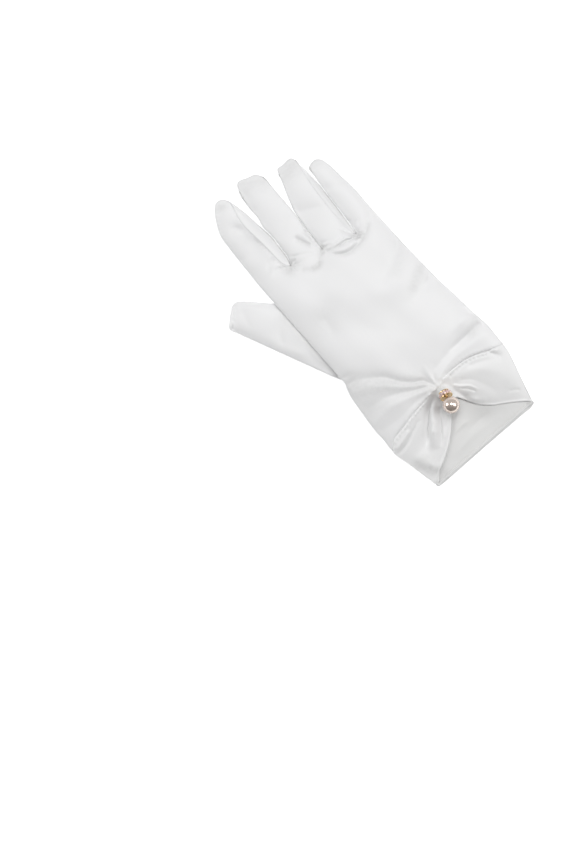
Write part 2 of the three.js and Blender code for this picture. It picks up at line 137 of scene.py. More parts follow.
def cut_cloth(edge, pitch, spots=(), rings=(0.25, 0.6, 1.1, 1.8), hole=()):
    """Plan of a cut: points and triangles, finer along the edge and in spots (x, y, radius). No
    triangle crosses the outline of the hole."""
    ahead = np.roll(edge[:, :2], -1, axis=0) - np.roll(edge[:, :2], 1, axis=0)
    inward = np.stack([-ahead[:, 1], ahead[:, 0]], 1)
    inward /= np.linalg.norm(inward, axis=1)[:, None]
    found = [edge[:, :2]]
    for depth in rings:
        ring = edge[:, :2] + inward * depth
        away = off_line(ring, edge, closed=True)[0]
        found.append(ring[(away > depth * 0.93) & within(ring, edge)])
    lo, hi = edge[:, :2].min(0), edge[:, :2].max(0)
    grids = [hex_grid(lo, hi, pitch)]
    for x, y, radius in spots:
        far = np.hypot(grids[0][:, 0] - x, grids[0][:, 1] - y)
        grids[0] = grids[0][far > radius]
        grid = hex_grid((x - radius, y - radius), (x + radius, y + radius), pitch / 2)
        grids.append(grid[np.hypot(grid[:, 0] - x, grid[:, 1] - y) < radius - pitch / 4])
    for grid in grids:
        grid = grid[within(grid, edge)]
        away = off_line(grid, edge, closed=True)[0]
        found.append(grid[away > rings[-1] + pitch * 0.45])
    sides = [(k, (k + 1) % len(edge)) for k in range(len(edge))]
    if len(hole):
        found = [part[off_line(part, hole, closed=True)[0] > pitch * 0.4] for part in found]
        first = sum(len(part) for part in found)
        found.append(hole)
        sides += [(first + k, first + (k + 1) % len(hole)) for k in range(len(hole))]
    points = [Vector(p) for p in np.concatenate(found)]
    plan, _, triangles, *_ = delaunay_2d_cdt(points, sides, [], 1, 1e-4)
    return np.array([p[:] for p in plan]), np.array([t[:] for t in triangles if len(t) == 3])


def ease(plan, triangles, held, heights, target, reach):
    """Heights that leave the held points' own and ease to the target over about `reach` mm."""
    i, j, k = triangles.T
    one, two, weight = [], [], []
    mass = np.zeros(len(plan))
    spread = np.broadcast_to(np.asarray(reach, float), len(plan))[triangles].mean(1) ** 2
    double_area = np.abs(np.cross(plan[j] - plan[i], plan[k] - plan[i]))
    for a, b, c in ((i, j, k), (j, k, i), (k, i, j)):
        one.append(a)
        two.append(b)
        facing = ((plan[a] - plan[c]) * (plan[b] - plan[c])).sum(1)
        weight.append(spread * facing / np.maximum(double_area, 1e-6) / 2)
        mass += np.bincount(a, double_area / 6, len(plan))
    one, two, weight = np.concatenate(one), np.concatenate(two), np.concatenate(weight)

    def pull(h):
        flow = weight * (h[one] - h[two])
        both = np.bincount(one, flow, len(h)) - np.bincount(two, flow, len(h))
        return np.where(held, 0, mass * h + both)

    # Conjugate gradients, 400 rounds of them at most.
    h = np.where(held, heights, target)
    left = np.where(held, 0, mass * target) - pull(h)
    way, size = left.copy(), left @ left
    for _ in range(400):
        step = size / max(way @ pull(way), 1e-30)
        h = h + step * way
        left = left - step * pull(way)
        size, before = left @ left, size
        if size < 1e-10:
            break
        way = left + size / before * way
    return h


def close_by(distance, width, power=2):
    """1 at no distance, and falling to nothing by about twice the width."""
    return np.exp(-((distance / width) ** power))


def folded(plan, folds):
    """Height that folds add: each is its heights and its widths along the way, or one number where
    they stay the same, and the way. A fourth number makes the side to the left of the way that many
    times as wide as the right. A raised fold is round like a bell across its way, and a crease has
    a sharper bottom."""
    lift = np.zeros(len(plan))
    for heights, widths, way, *lean in folds:
        heights, widths = np.atleast_1d(heights), np.atleast_1d(widths)
        line = smooth_line(way, 1.0)
        margin = 3.2 * max(widths) * max(lean or [1])
        near = np.all((plan > line.min(0) - margin) & (plan < line.max(0) + margin), axis=1)
        if not near.any():
            continue
        away, along = off_line(plan[near], line)
        width = np.interp(along, np.linspace(0, 1, len(widths)), widths)
        high = np.interp(along, np.linspace(0, 1, len(heights)), heights)
        if lean:
            k = np.minimum((along * (len(line) - 1)).astype(int), len(line) - 2)
            ahead, off = line[k + 1] - line[k], plan[near] - line[k]
            left = ahead[:, 0] * off[:, 1] > ahead[:, 1] * off[:, 0]
            width = np.where(left, width * lean[0], width)
        crest = 2.0 if sum(heights) > 0 else 1.5
        lift[near] += high * close_by(away, width, crest)
    return lift


def cloth_mesh(name, places, faces, flat):
    """A piece from its points, its faces, and where each point is on the flat cloth, in metres."""
    mesh = bpy.data.meshes.new(name)
    mesh.from_pydata(places.tolist(), [], faces)
    mesh.uv_layers.new(name="cloth")
    ends = np.empty(len(mesh.loops), np.int32)
    mesh.loops.foreach_get("vertex_index", ends)
    mesh.uv_layers["cloth"].data.foreach_set("uv", flat[ends].astype(np.float32).ravel())
    piece = bpy.data.objects.new(name, mesh)
    bpy.context.collection.objects.link(piece)
    return piece


def cloth_piece(name, layers):
    """Walled piece from layers of cloth: plan, triangles, heights and the side that faces out."""
    corners, faces, start = [], [], 0
    for plan, triangles, heights, side in layers:
        corners.append(np.column_stack([plan, heights]))
        faces.append((triangles if side > 0 else triangles[:, ::-1]) + start)
        start += len(plan)
    places = (np.concatenate(corners) + HEM_TO_ORIGIN) / 1000
    piece = cloth_mesh(name, places, np.concatenate(faces).tolist(), places[:, :2])
    if len(layers) > 1:
        bm = bmesh.new()
        bm.from_mesh(piece.data)
        bmesh.ops.remove_doubles(bm, verts=bm.verts, dist=2e-6)
        bm.to_mesh(piece.data)
        bm.free()
    give_wall(piece)
    return piece


def take(*pieces):
    """Select these pieces and nothing else, in object mode, with the first one active."""
    if bpy.context.object and bpy.context.object.mode == "EDIT":
        bpy.ops.object.mode_set(mode="OBJECT")
    bpy.ops.object.select_all(action="DESELECT")
    for piece in pieces:
        piece.select_set(True)
    bpy.context.view_layer.objects.active = pieces[0]


def apply_modifier(piece, name, kind, **settings):
    """Add a modifier to one piece alone and apply it."""
    take(piece)
    modifier = piece.modifiers.new(name, kind)
    for key, value in settings.items():
        setattr(modifier, key, value)
    bpy.ops.object.modifier_apply(modifier=name)


def give_wall(piece):
    """Give a piece of cloth its wall, with slots for its face and its back, and shade it smooth."""
    piece.data.materials.append(None)
    piece.data.materials.append(None)
    apply_modifier(piece, "wall", "SOLIDIFY", thickness=CLOTH, offset=-1, material_offset=1)
    bpy.ops.object.shade_smooth()


def colour(code):
    """sRGB hex to linear colour."""
    parts = [int(code[k:k + 2], 16) / 255 for k in (1, 3, 5)]
    return tuple(c / 12.92 if c <= 0.04045 else ((c + 0.055) / 1.055) ** 2.4 for c in parts) + (1,)


def add_node(tree, kind, inputs=None, **settings):
    """Add a node with its settings; an input is a number, a colour or another node's output."""
    made = tree.nodes.new(kind)
    for key, value in settings.items():
        setattr(made, key, value)
    for key, value in (inputs or {}).items():
        if isinstance(value, bpy.types.NodeSocket):
            tree.links.new(value, made.inputs[key])
        else:
            made.inputs[key].default_value = value
    return made


# The seam between the hand and the cuff, from the thumb side, with its height over the table.
WRIST_SEAM = [(-46.5, 37, 4.1), (-43, 40.2, 5.9), (-38, 42.4, 7), (-30, 44, 7.8), (-20, 46, 8.4),
              (-13, 47, 8.8), (-8, 47.5, 8.8), (-5.5, 47.7, 9.6), (-3.4, 47.8, 8.9),
              (-1.4, 47.9, 9.7), (0.6, 48, 8.8), (2.6, 48.2, 9.7), (4.6, 48.7, 9), (7, 49.2, 9.5),
              (10.5, 50, 9), (18, 50.5, 8.8), (25, 50, 8.4), (31, 48.4, 7.9), (37, 45.9, 7.2),
              (42, 43.9, 6.5), (46.5, 42.6, 5.7), (50.5, 41.5, 4.2)]
RIGHT_SIDE = [(50.5, 41.5, 4.2), (51, 50, 4.3), (51.2, 54, 4.4), (51, 58, 4.4), (50, 66, 4.5),
              (48.8, 78, 4.6), (48.2, 86, 4.6), (47.2, 94, 4.6), (46.4, 106, 4.6), (45.7, 120, 4.6),
              (45.2, 134, 4.3), (45, 150, 3.9), (44.8, 160, 3.7), (44.8, 178, 3.7),
              (43.8, 189, 3.7), (42.6, 200, 3.7), (41.2, 204.6, 3.7), (39.2, 206.9, 3.7)]
LITTLE_TIP = [(39.2, 206.9, 3.7), (35.5, 207.1, 3.7), (31.9, 206, 3.7)]
LITTLE_TO_CROTCH = [(31.9, 206, 3.7), (31.3, 201, 4.2), (30.6, 195.6, 4.6), (29.9, 188, 4.7),
                    (29.2, 178, 4.7), (28.5, 167, 4.7), (27.5, 158.5, 4.7), (26.6, 154.6, 5)]
RING_SEAM = [(26.6, 154.6, 5), (25.4, 158, 6), (24.6, 165, 6.4), (24.4, 175, 6.5), (24.9, 186, 6.4),
             (26, 197, 6), (27.4, 206, 5.3), (28.5, 212, 4.5), (28.6, 216, 3.8)]
RING_TIP = [(28.6, 216, 3.8), (27.6, 217.5, 3.7), (21, 218, 3.7), (15.8, 217.8, 3.7),
            (15, 216, 3.7)]
RING_TO_CROTCH = [(15, 216, 3.7), (13.9, 212, 4.4), (11.4, 205, 4.9), (8.8, 197.6, 5.2),
                  (7.1, 192, 5.2), (6.3, 187, 5.2), (5.5, 180, 5.2), (4.9, 171, 5.2),
                  (4.3, 161.2, 5.2)]
MIDDLE_RIGHT = [(4.3, 161.2, 5.2), (4.5, 171, 5.2), (5.1, 180, 5.2), (5.8, 187, 5.2),
                (6.2, 194, 5.1), (6.5, 203, 4.9), (6.6, 212, 4.5), (6.6, 219, 3.9),
                (6.2, 221.6, 3.7)]
MIDDLE_TIP = [(6.2, 221.6, 3.7), (4, 224.5, 3.7), (-2, 226.8, 3.7), (-7.2, 228.5, 3.7),
              (-8.9, 227.9, 3.7), (-10.9, 224.4, 3.7)]
MIDDLE_TO_CROTCH = [(-10.9, 224.4, 3.7), (-12.3, 218, 4), (-13.2, 211, 4.4), (-13.2, 203, 4.6),
                    (-14.6, 196, 4.7), (-14.2, 190, 4.7), (-14.1, 186, 4.7), (-14.7, 179, 4.7),
                    (-15.7, 171, 4.6), (-17.4, 166.6, 4.4)]
INDEX_SEAM = [(-17.4, 166.6, 4.4), (-19.6, 168.4, 5.4), (-21, 172, 6.3), (-21.6, 180, 6.6),
              (-22.2, 190, 6.6), (-23, 199, 6.4), (-23.4, 205, 6), (-22.4, 212, 5.2),
              (-20.4, 219, 4.3), (-20.2, 224, 3.8)]
INDEX_TIP = [(-20.2, 224, 3.8), (-22.2, 226.6, 3.7), (-24.6, 227.7, 3.7), (-27.2, 227.5, 3.7),
             (-30.8, 224.3, 3.7), (-35, 218, 3.7), (-38.4, 210, 3.7), (-39.5, 200, 3.7),
             (-40.1, 190, 3.7), (-40.5, 180, 3.8), (-41, 172, 4.1)]
LEFT_SIDE = [(-41, 172, 4.1), (-41, 164, 4.8), (-41, 156, 5.8), (-41, 148, 6.6), (-41, 138, 6.9),
             (-41, 122, 7), (-41, 108, 6.9), (-41, 99, 6.6), (-41.2, 93, 6.4), (-41, 89, 6),
             (-42.4, 85, 5.7), (-43.6, 81, 5.4), (-44.5, 75, 5.1), (-45.3, 67, 4.7), (-46, 60, 4.4),
             (-46.5, 52, 4.3), (-46.3, 45, 4.2), (-46.7, 40, 4.1), (-46.5, 37, 4.1)]
back_edge = cut_edge(WRIST_SEAM, RIGHT_SIDE, LITTLE_TIP, LITTLE_TO_CROTCH, RING_SEAM, RING_TIP,
                     RING_TO_CROTCH, MIDDLE_RIGHT, MIDDLE_TIP, MIDDLE_TO_CROTCH, INDEX_SEAM,
                     INDEX_TIP, LEFT_SIDE)

# Folds that run out of the gather over the hand, soft dents in the slack cloth, and the tight
# creases at the finger roots.
HAND_FOLDS = [
    ((-1.0, -1.3, -1.3, -0.7), (1.3, 2.2, 3.4, 4.6),
     [(0, 51), (-2.6, 56.8), (-9, 61), (-15, 67.4), (-19.6, 74.4), (-26.4, 80), (-32.4, 84.6),
      (-39, 88.6)]),
    (0.4, (1.8, 3.6), [(-3.5, 54), (-9.5, 58.6), (-16, 64), (-22.6, 71), (-30.6, 76.6), (-40, 79)]),
    ((-0.9, -0.8), (1.8, 5.6), [(-4, 53), (-12, 57), (-20, 61.5), (-29, 65.5), (-40, 67)]),
    (0.5, (1.6, 3.4), [(-5, 51), (-12, 53.5), (-22, 56.8), (-31, 58), (-43, 57)]),
    ((-0.4, -0.3), (1.8, 3.0), [(-6, 49.5), (-16, 50), (-30, 49.5), (-43, 50.5)]),
    ((-0.6, -0.3), (1.4, 2.6), [(2.5, 52.5), (5, 56.5), (9, 60)]),
    ((-0.4, -0.2), (0.9, 1.6), [(0.6, 50.5), (0.2, 55), (-0.6, 61)]),
    ((0.3, 0.1), (0.9, 1.6), [(1.6, 51), (2.2, 56), (3.2, 63)]),
    ((0.6, 0.4), (1.4, 3.2), [(6, 51.4), (12, 53.6), (22, 55), (34, 55), (47, 54)]),
    ((-0.3, -0.6, -2.4, -2.6), (2.0, 3.4), [(9, 58), (20, 60), (33, 60), (46, 60.5)]),
    ((0.2, 1.2, 1.2), (3.0, 3.2), [(30, 68), (38, 69.5), (47, 71)]),
    ((-0.4, -1.7, -1.8), (4.0, 5.0), [(19, 121), (31, 127), (44, 135)]),
    ((-0.5, -1.9, -2.0), (4.4, 4.0), [(25, 99.5), (34, 102), (46, 106)]),
    (-0.8, 6, [(-24, 126), (-25, 119)]),
    (-0.4, 9, [(-8, 106), (4, 92)]),
    (0.5, 9, [(12, 118), (24, 116)]),
    (0.4, 8, [(-8, 138), (6, 142)]),
    ((-0.6, -0.2), (1.2, 2.4), [(-40, 91.6), (-37, 91), (-33, 88.5)]),
    ((-0.5, -0.2), (0.9, 1.4), [(-41, 87.2), (-38.6, 86.4), (-36, 86.6)]),
    ((0.3, 0.1), (0.9, 1.4), [(-40.6, 89.4), (-38, 89), (-35, 88.2)]),
]
ROOT_FOLDS = [
    # the drawn-in crater between index and middle finger
    (-0.9, 2.2, [(-22, 167), (-20.4, 165), (-18, 163.8), (-14.4, 163.6)], 2.0),
    (-0.8, 0.6, [(-21, 168.8), (-18.4, 166.2), (-14.6, 165.6)], 2.2),
    (-0.7, 0.6, [(-19.4, 170), (-17, 168), (-13.4, 167.4)], 2.0),
    (-0.6, 0.6, [(-17.6, 163.6), (-16.6, 166.4), (-17.6, 169.4)]),
    ((-0.7, -0.3), (1.2, 1.6), [(-22, 168.6), (-25, 170.2), (-28.5, 169.6)]),
    ((-0.3, -0.6), (1.2, 1.8), [(-29.5, 174.6), (-27, 176.4), (-24.4, 176.8)]),
    ((0.4, 0.2), (1.0, 1.4), [(-22.6, 170.8), (-26, 173), (-29, 172)]),
    ((-0.5, -0.3), (0.9, 1.1), [(-12.5, 170), (-8, 167.6), (-3, 164.2), (1.6, 161.4)]),
    ((-0.3, -1.2, -0.9), (1.4, 2.2, 1.4),
     [(-14, 159), (-10, 156.2), (-6, 154.8), (-2.5, 156.6), (1.4, 160)], 1.4),
    # middle and ring finger
    ((-1.5, -1.2), (1.5, 1.2), [(-3.4, 176.6), (-2, 172.8), (0, 168.8)]),
    ((-1.0, -0.8), 0.9, [(3.4, 177), (3, 172), (3, 167)]),
    (0.3, 0.8, [(1.2, 176), (1.2, 171), (1.8, 165)]),
    ((-1.8, -1.6), 1.7, [(3.6, 161.6), (5, 160.8)]),
    ((-0.7, -0.2), (0.8, 1.2), [(4.4, 162), (7, 160.4), (9.6, 160)]),
    ((-0.6, -0.2), (0.8, 1.2), [(4.6, 163), (6.6, 164.6), (9, 163.4), (11, 162.6)]),
    ((0.4, 0.2), (0.7, 1.0), [(4.8, 161.8), (7.8, 162.2), (11, 161)]),
    ((-0.5, -0.2), (0.7, 1.1), [(3.2, 160.8), (1, 160.2), (-1.4, 160.6)]),
    # the folds across the root of the ring finger
    ((-0.9, -1.1, -1.2), 1.0, [(4.8, 158.8), (8, 157.6), (11, 156.8), (15, 155.8), (19, 155.4),
                                      (22, 153.8), (25.6, 152.8)]),
    ((-0.5, -0.4), 0.8, [(10.6, 158), (14, 158.9), (18.6, 158.2)]),
    (0.4, 0.8, [(11, 157.2), (15, 157.3), (19.6, 156.8), (23, 155)]),
    (0.5, (2.0, 1.9), [(8, 154.8), (13, 152.6), (18, 151.6), (23, 151.6)]),
    ((-0.6, -1.1, -1.3, -1.2, -0.6), (1.2, 1.5, 1.7, 1.9, 2.4),
     [(5.2, 157), (8.6, 153.4), (12.6, 150.2), (16.4, 148.8), (21, 148.8), (26, 149.4), (30, 150.4),
      (34, 152.8), (38.5, 156.4), (42.5, 160.6)]),
    ((0.4, 0.2), (1.6, 2.4), [(30, 153.4), (34, 156.4), (39, 160.8)]),
    # ring and little finger
    ((-2.2, -2.0), 1.9, [(26.4, 155.8), (26.2, 152.8)]),
    ((-0.6, -0.2), (0.8, 1.2), [(25, 155.4), (22.8, 158.8), (21.4, 162.4)]),
    ((-0.5, -0.3), (0.8, 0.9), [(22.2, 161), (20.8, 164), (19.8, 166.4)]),
    ((-0.6, -0.3), (0.8, 1.1), [(28.2, 156), (29.4, 158.4), (31.6, 160.6)]),
    ((0.4, 0.2), (0.8, 1.1), [(24.4, 153.8), (22, 156.8), (20, 160)]),
    ((0.4, 0.2), (0.8, 1.1), [(28.4, 154.6), (31.4, 156.6), (34, 159)]),
    ((-0.5, -0.2), (0.7, 1.0), [(27.6, 151.8), (30, 153), (32.6, 155.2)]),
    # slack in the fingers
    (-0.6, 2.4, [(-28, 207.4), (-26.6, 205.4)]),
    (-0.5, (3.6, 3.4), [(-39, 189.5), (-31, 189.5), (-24, 192)]),
    (0.4, 3.5, [(-33, 201), (-29, 202.5)]),
    (-0.4, 3.4, [(9, 189), (20, 183)]),
    (-0.4, 3.2, [(-11, 207), (3, 211)]),
    (-0.3, 3.0, [(-10, 186), (2, 190)]),
    (-0.4, 2.6, [(32, 188), (42, 185)]),
]
TIP_FOLDS = [
    (-0.6, 1.4, [(-30, 221.6), (-26.6, 222.6), (-22.6, 221.4)]),
    (0.3, 0.8, [(-27, 225.2), (-25, 225)]),
    ((-0.6, -0.3), (1.2, 1.6), [(-8.2, 226), (-9.4, 221), (-9.6, 216)]),
    (-0.5, 1.2, [(-6, 225), (0, 223), (4, 220.6)]),
    (-0.6, 0.8, [(21, 215.4), (23.6, 213.6), (27, 214.8)]),
    ((-0.5, -0.4), 1.4, [(16, 213.8), (20, 214.6), (25, 215)]),
    ((-0.5, -0.4), 1.4, [(33, 203), (37, 204), (40, 203)]),
]


def slack(plan, high=0.3):
    """Faint uneven rise and fall of limp cloth, in waves 20 to 55 mm long."""
    x, y = plan[:, 0], plan[:, 1]
    wave = (np.sin(0.13 * x + 0.05 * y + 1.3) * np.sin(0.11 * y - 0.04 * x + 0.4)
            + 0.45 * np.sin(0.25 * x - 0.12 * y + 2.1) * np.sin(0.19 * y + 0.09 * x))
    return high * wave


def rolled(away, radius):
    """The last mm before a seam turns down in a quarter circle of the given radius."""
    near = 1 - np.minimum(away / radius, 1)
    return radius * (np.sqrt(1 - near**2) - 1)


STITCH = 2.6  # mm from one stitch to the next


def puckered(plan, edge, away, pitch, high):
    """Small waves that the needle's thread draws into the cloth beside a seam."""
    along = off_line(plan, edge, closed=True)[1] * len(edge) * STEP
    near = close_by(away, 1.4) * (1 - close_by(away, 0.3))
    return high * near * np.sin(along * 2 * math.pi / pitch)


def gap_to(plan, *seams):
    """Distance in plan to the nearest of these seams."""
    return np.minimum.reduce([off_line(plan, smooth_line(seam, STEP))[0] for seam in seams])


def seam_groove(plan, gap):
    """How far the cloth is drawn down at the wrist seam: deep at its two sides, nothing between."""
    deep = np.interp(plan[:, 0], [-46, -40, -14, -8, 8, 12, 38, 44],
                     [0.7, 0.55, 0.4, 0, 0, 0.6, 0.8, 0.3])
    return deep * close_by(gap, 0.8, 1.5)


# The knots between the fingers: place, reach in mm, number of creases, and their height in mm.
KNOTS = [(-17.6, 166.2, 4.6, 9, 0.2), (4.2, 161.2, 3.6, 10, 0.5), (26.4, 154, 4.0, 9, 0.5)]


def drawn(plan, x, y, reach, rays, high):
    """Short creases that stand round a point where the thread draws the cloth in."""
    far = np.hypot(plan[:, 0] - x, plan[:, 1] - y)
    turn = np.arctan2(plan[:, 1] - y, plan[:, 0] - x)
    beat = np.sin(turn * rays + 2.2 * np.sin(turn * 2 + x))
    return high * beat * close_by(far, reach) * np.clip(far / 1.2, 0, 1)


def held_heights(plan, edge):
    """Which points lie on a cut's edge, and the edge's height at each of them."""
    away, along = off_line(plan, edge, closed=True)
    place = along * len(edge)
    heights = np.interp(place, np.arange(len(edge) + 1), np.append(edge[:, 2], edge[0, 2]))
    return away, away < 1e-3, heights


back_plan, back_faces = cut_cloth(back_edge, 1.0, [(-17.5, 166, 9), (4, 161, 9), (18, 154.5, 9),
                                                   (27, 155, 9), (1, 54, 12)])
away, at_edge, seam_height = held_heights(back_plan, back_edge)
crown = np.interp(back_plan[:, 1], [38, 50, 60, 75, 92, 140, 158, 172, 195, 228],
                  [8.8, 9.5, 10.2, 11, 11.3, 11, 9.2, 6.8, 6, 5.1])
reach = np.interp(back_plan[:, 1], [140, 168, 228], [7, 3.6, 3])
back_height = ease(back_plan, back_faces, at_edge, seam_height, crown, reach)
# The long folds die out some 2 mm from the seams, and the tight creases come closer.
calm = 1 - close_by(away, 2.2)
back_height += (slack(back_plan) + folded(back_plan, HAND_FOLDS + TIP_FOLDS)) * calm
back_height += folded(back_plan, ROOT_FOLDS) * (1 - close_by(away, 0.9))
for x, y, reach, rays, high in KNOTS:
    back_height += drawn(back_plan, x, y, reach, rays, high)
wrist_gap = gap_to(back_plan, WRIST_SEAM)
strip_gap = gap_to(back_plan, INDEX_SEAM, RING_SEAM)
# The outer seams turn down, and the strips' seams lie in a groove that fades before the tips.
not_turned = np.minimum(wrist_gap, strip_gap) < away + 0.01
back_height += np.where(not_turned, 0, rolled(away, 0.7))
back_height -= seam_groove(back_plan, wrist_gap)
fading = np.clip((212 - back_plan[:, 1]) / 14, 0, 1)
back_height -= 0.2 * close_by(strip_gap, 1.1, 1.5) * fading
back_height += puckered(back_plan, back_edge, away, STITCH, 0.12)
back = cloth_piece("back_panel_satin", [(back_plan, back_faces, back_height, 1)])

# Painted shade: the satin's colour is darkened towards grey where the cloth is drawn in or creased,
# standing in for the shade in those hollows. The broad soft shades are painted shade too, laid the
# same way after the photograph. Each place is how strong the painted shade is, how wide in
# millimetres, and the line that it follows.
BACK_PAINTED_SHADE = [
    # the drawn-in crater, the V beside it and the knots at the fingers' roots
    (0.45, 3.8, [(-19.8, 165.8), (-15.2, 166.8)]),
    (0.85, 1.5, [(-18.4, 165.6), (-16.4, 168)]),
    (0.6, 1.8, [(-8, 155.6), (-4.6, 154.8), (-2.4, 156)]),
    (0.3, 1.6, [(-13, 159), (-8.4, 155.6), (-4.6, 154.8), (-1.4, 157), (2, 160)]),
    (0.7, 1.5, [(3.2, 160), (5.2, 162.6)]),
    (0.7, 2.2, [(26, 155), (27.2, 152.6)]),
    (0.5, 1.2, [(28.6, 165.2), (29, 164)]),
    # the folds across the root of the ring finger
    (0.4, 0.9, [(6, 158.6), (11, 157), (15, 156), (19, 155.6), (22, 154), (25.6, 152.8)]),
    (0.3, 1.5, [(9, 153.4), (13, 149.8), (18, 148.6), (25, 148.8), (30, 150.4), (36, 154)]),
    # beside the gussets, and short creases between middle and ring finger
    (0.35, 1.1, [(-22.6, 203), (-22, 188), (-20.4, 172)]),
    (0.25, 1.0, [(-14.4, 190), (-15, 172)]),
    (0.5, 1.0, [(-3.2, 176.6), (-1.6, 172.6), (0, 169)]),
    (0.4, 0.8, [(3.4, 177), (3, 168)]),
    (0.15, 2.0, [(-28.4, 207.4), (-25.4, 205.6)]),
    # the fingertips
    (0.3, 7, [(17, 213), (26, 213)]),
    (0.22, 6, [(-5, 224), (3, 218)]),
    (0.2, 3.5, [(33, 206), (39, 206)]),
    (0.3, 2.5, [(-27, 223), (-25, 223)]),
    # soft shades on the back of the hand
    (0.13, 9.0, [(-23, 130), (-27, 120)]),
    (0.16, 3.4, [(45, 132), (36, 124), (30, 119)]),
    (0.3, 3.0, [(46, 113), (38, 110), (31, 105)]),
    (0.3, 3.0, [(48, 64), (40, 60)]),
    (0.4, 8.0, [(-40, 85), (-28, 75), (-16, 64), (-5, 54)]),
    (0.2, 9.0, [(-38, 66), (-26, 60)]),
]


def paint_shade(piece, shades_to_paint):
    """Keep on each point of a cloth piece how much painted shade darkens the satin there."""
    places = np.empty(len(piece.data.vertices) * 3)
    piece.data.vertices.foreach_get("co", places)
    plan = places.reshape(-1, 3)[:, :2] * 1000 - np.array(HEM_TO_ORIGIN)[:2]
    painted_shade = np.zeros(len(plan))
    for most, width, way in shades_to_paint:
        painted_shade = np.maximum(painted_shade, most * close_by(off_line(plan, way)[0], width))
    layer = piece.data.attributes.new("painted_shade", "FLOAT", "POINT")
    layer.data.foreach_set("value", painted_shade.astype(np.float32))


paint_shade(back, BACK_PAINTED_SHADE)


def make_satin(name, dark, light):
    """White stretch satin: long floats of bright polyester lie side by side, so the cloth has a
    soft broad shine that runs across the floats and hardly any visible thread."""
    satin = bpy.data.materials.new(name)
    satin.use_nodes = True
    tree = satin.node_tree
    tree.nodes.clear()
    # The cloth's own map is in metres.
    metres = add_node(tree, "ShaderNodeTexCoord").outputs["UV"]
    # The floats are about 0.1 mm wide, too fine to show, so they are drawn as very faint bands
    # 3 mm apart, with a thread grain of 1 mm.
    floats = add_node(tree, "ShaderNodeTexWave", {
        "Vector": metres, "Scale": 100.0, "Distortion": 1.5, "Detail": 2.0,
        "Detail Scale": 3.0}, wave_type="BANDS", bands_direction="X")
    threads = add_node(tree, "ShaderNodeTexNoise", {
        "Vector": metres, "Scale": 900.0, "Detail": 3.0, "Roughness": 0.6})
    blend = add_node(tree, "ShaderNodeMix", {
        "Factor": 0.5, "A": floats.outputs["Fac"], "B": threads.outputs["Fac"]}, data_type="FLOAT")
    bump = add_node(tree, "ShaderNodeBump", {
        "Strength": 0.12, "Distance": 0.00006, "Height": blend.outputs["Result"]})
    # Slack satin shines a little unevenly, in soft patches about 30 mm across.
    patches = add_node(tree, "ShaderNodeTexNoise", {
        "Vector": metres, "Scale": 35.0, "Detail": 2.0})
    tint = add_node(tree, "ShaderNodeMix", {
        "Factor": patches.outputs["Fac"], "A": colour(dark), "B": colour(light)},
        data_type="RGBA")
    # Noise about every 2 mm breaks up the painted shade, as in the crinkles of crushed satin.
    shade_breakup_noise = add_node(tree, "ShaderNodeTexNoise", {
        "Vector": metres, "Scale": 450.0, "Detail": 2.0, "Roughness": 0.5})
    shade_breakup = add_node(tree, "ShaderNodeMapRange", {
        "Value": shade_breakup_noise.outputs["Fac"], "From Min": 0.38, "From Max": 0.62,
        "To Min": 0.75, "To Max": 1.1})
    # Painted shade: how far each point's colour is darkened towards grey, kept on the cloth's
    # points.
    painted_shade = add_node(tree, "ShaderNodeAttribute", attribute_name="painted_shade")
    painted_shade_strength = add_node(tree, "ShaderNodeMath", {
        0: painted_shade.outputs["Fac"], 1: shade_breakup.outputs["Result"]}, operation="MULTIPLY", use_clamp=True)
    # The colour is mixed that far towards this grey, as painted shade.
    colour_with_painted_shade = add_node(tree, "ShaderNodeMix", {
        "Factor": painted_shade_strength.outputs["Value"], "A": tint.outputs["Result"], "B": colour("#CACAC9")},
        data_type="RGBA")
    gloss = add_node(tree, "ShaderNodeMapRange", {
        "Value": patches.outputs["Fac"], "To Min": 0.45, "To Max": 0.53})
    cloth = add_node(tree, "ShaderNodeBsdfPrincipled", {
        "Base Color": colour_with_painted_shade.outputs["Result"], "Roughness": gloss.outputs["Result"],
        "IOR": 1.6, "Specular IOR Level": 0.65, "Sheen Weight": 0.1, "Sheen Roughness": 0.4,
        "Normal": bump.outputs["Normal"]})
    end = add_node(tree, "ShaderNodeOutputMaterial")
    tree.links.new(cloth.outputs["BSDF"], end.inputs["Surface"])
    return satin


satin = make_satin("woven stretch satin, white polyester", "#EBEBEC", "#F0F0F0")
# The back's colour is darker than the face's: partly the duller back of the weave, partly painted
# shade for where it shows in the hollow of the V.
dull_back_with_painted_shade = make_satin("dull back of the stretch satin", "#DBDBDA", "#E1E1E0")


def sewn_in(piece, node, face, **cut):
    """Give a cloth piece its bright face and its dull back, hang it on the root body, and hide the
    CAD part that it stands for. The settings of its flat cut are not used."""
    piece.data.materials[0] = face
    piece.data.materials[1] = dull_back_with_painted_shade
    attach(piece, "root")
    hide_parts(node)


sewn_in(back, "back_panel", satin, flat=(0.099, 0.19), held="laid", area=0.0158,
        rests_on=["palm_panel_satin"])

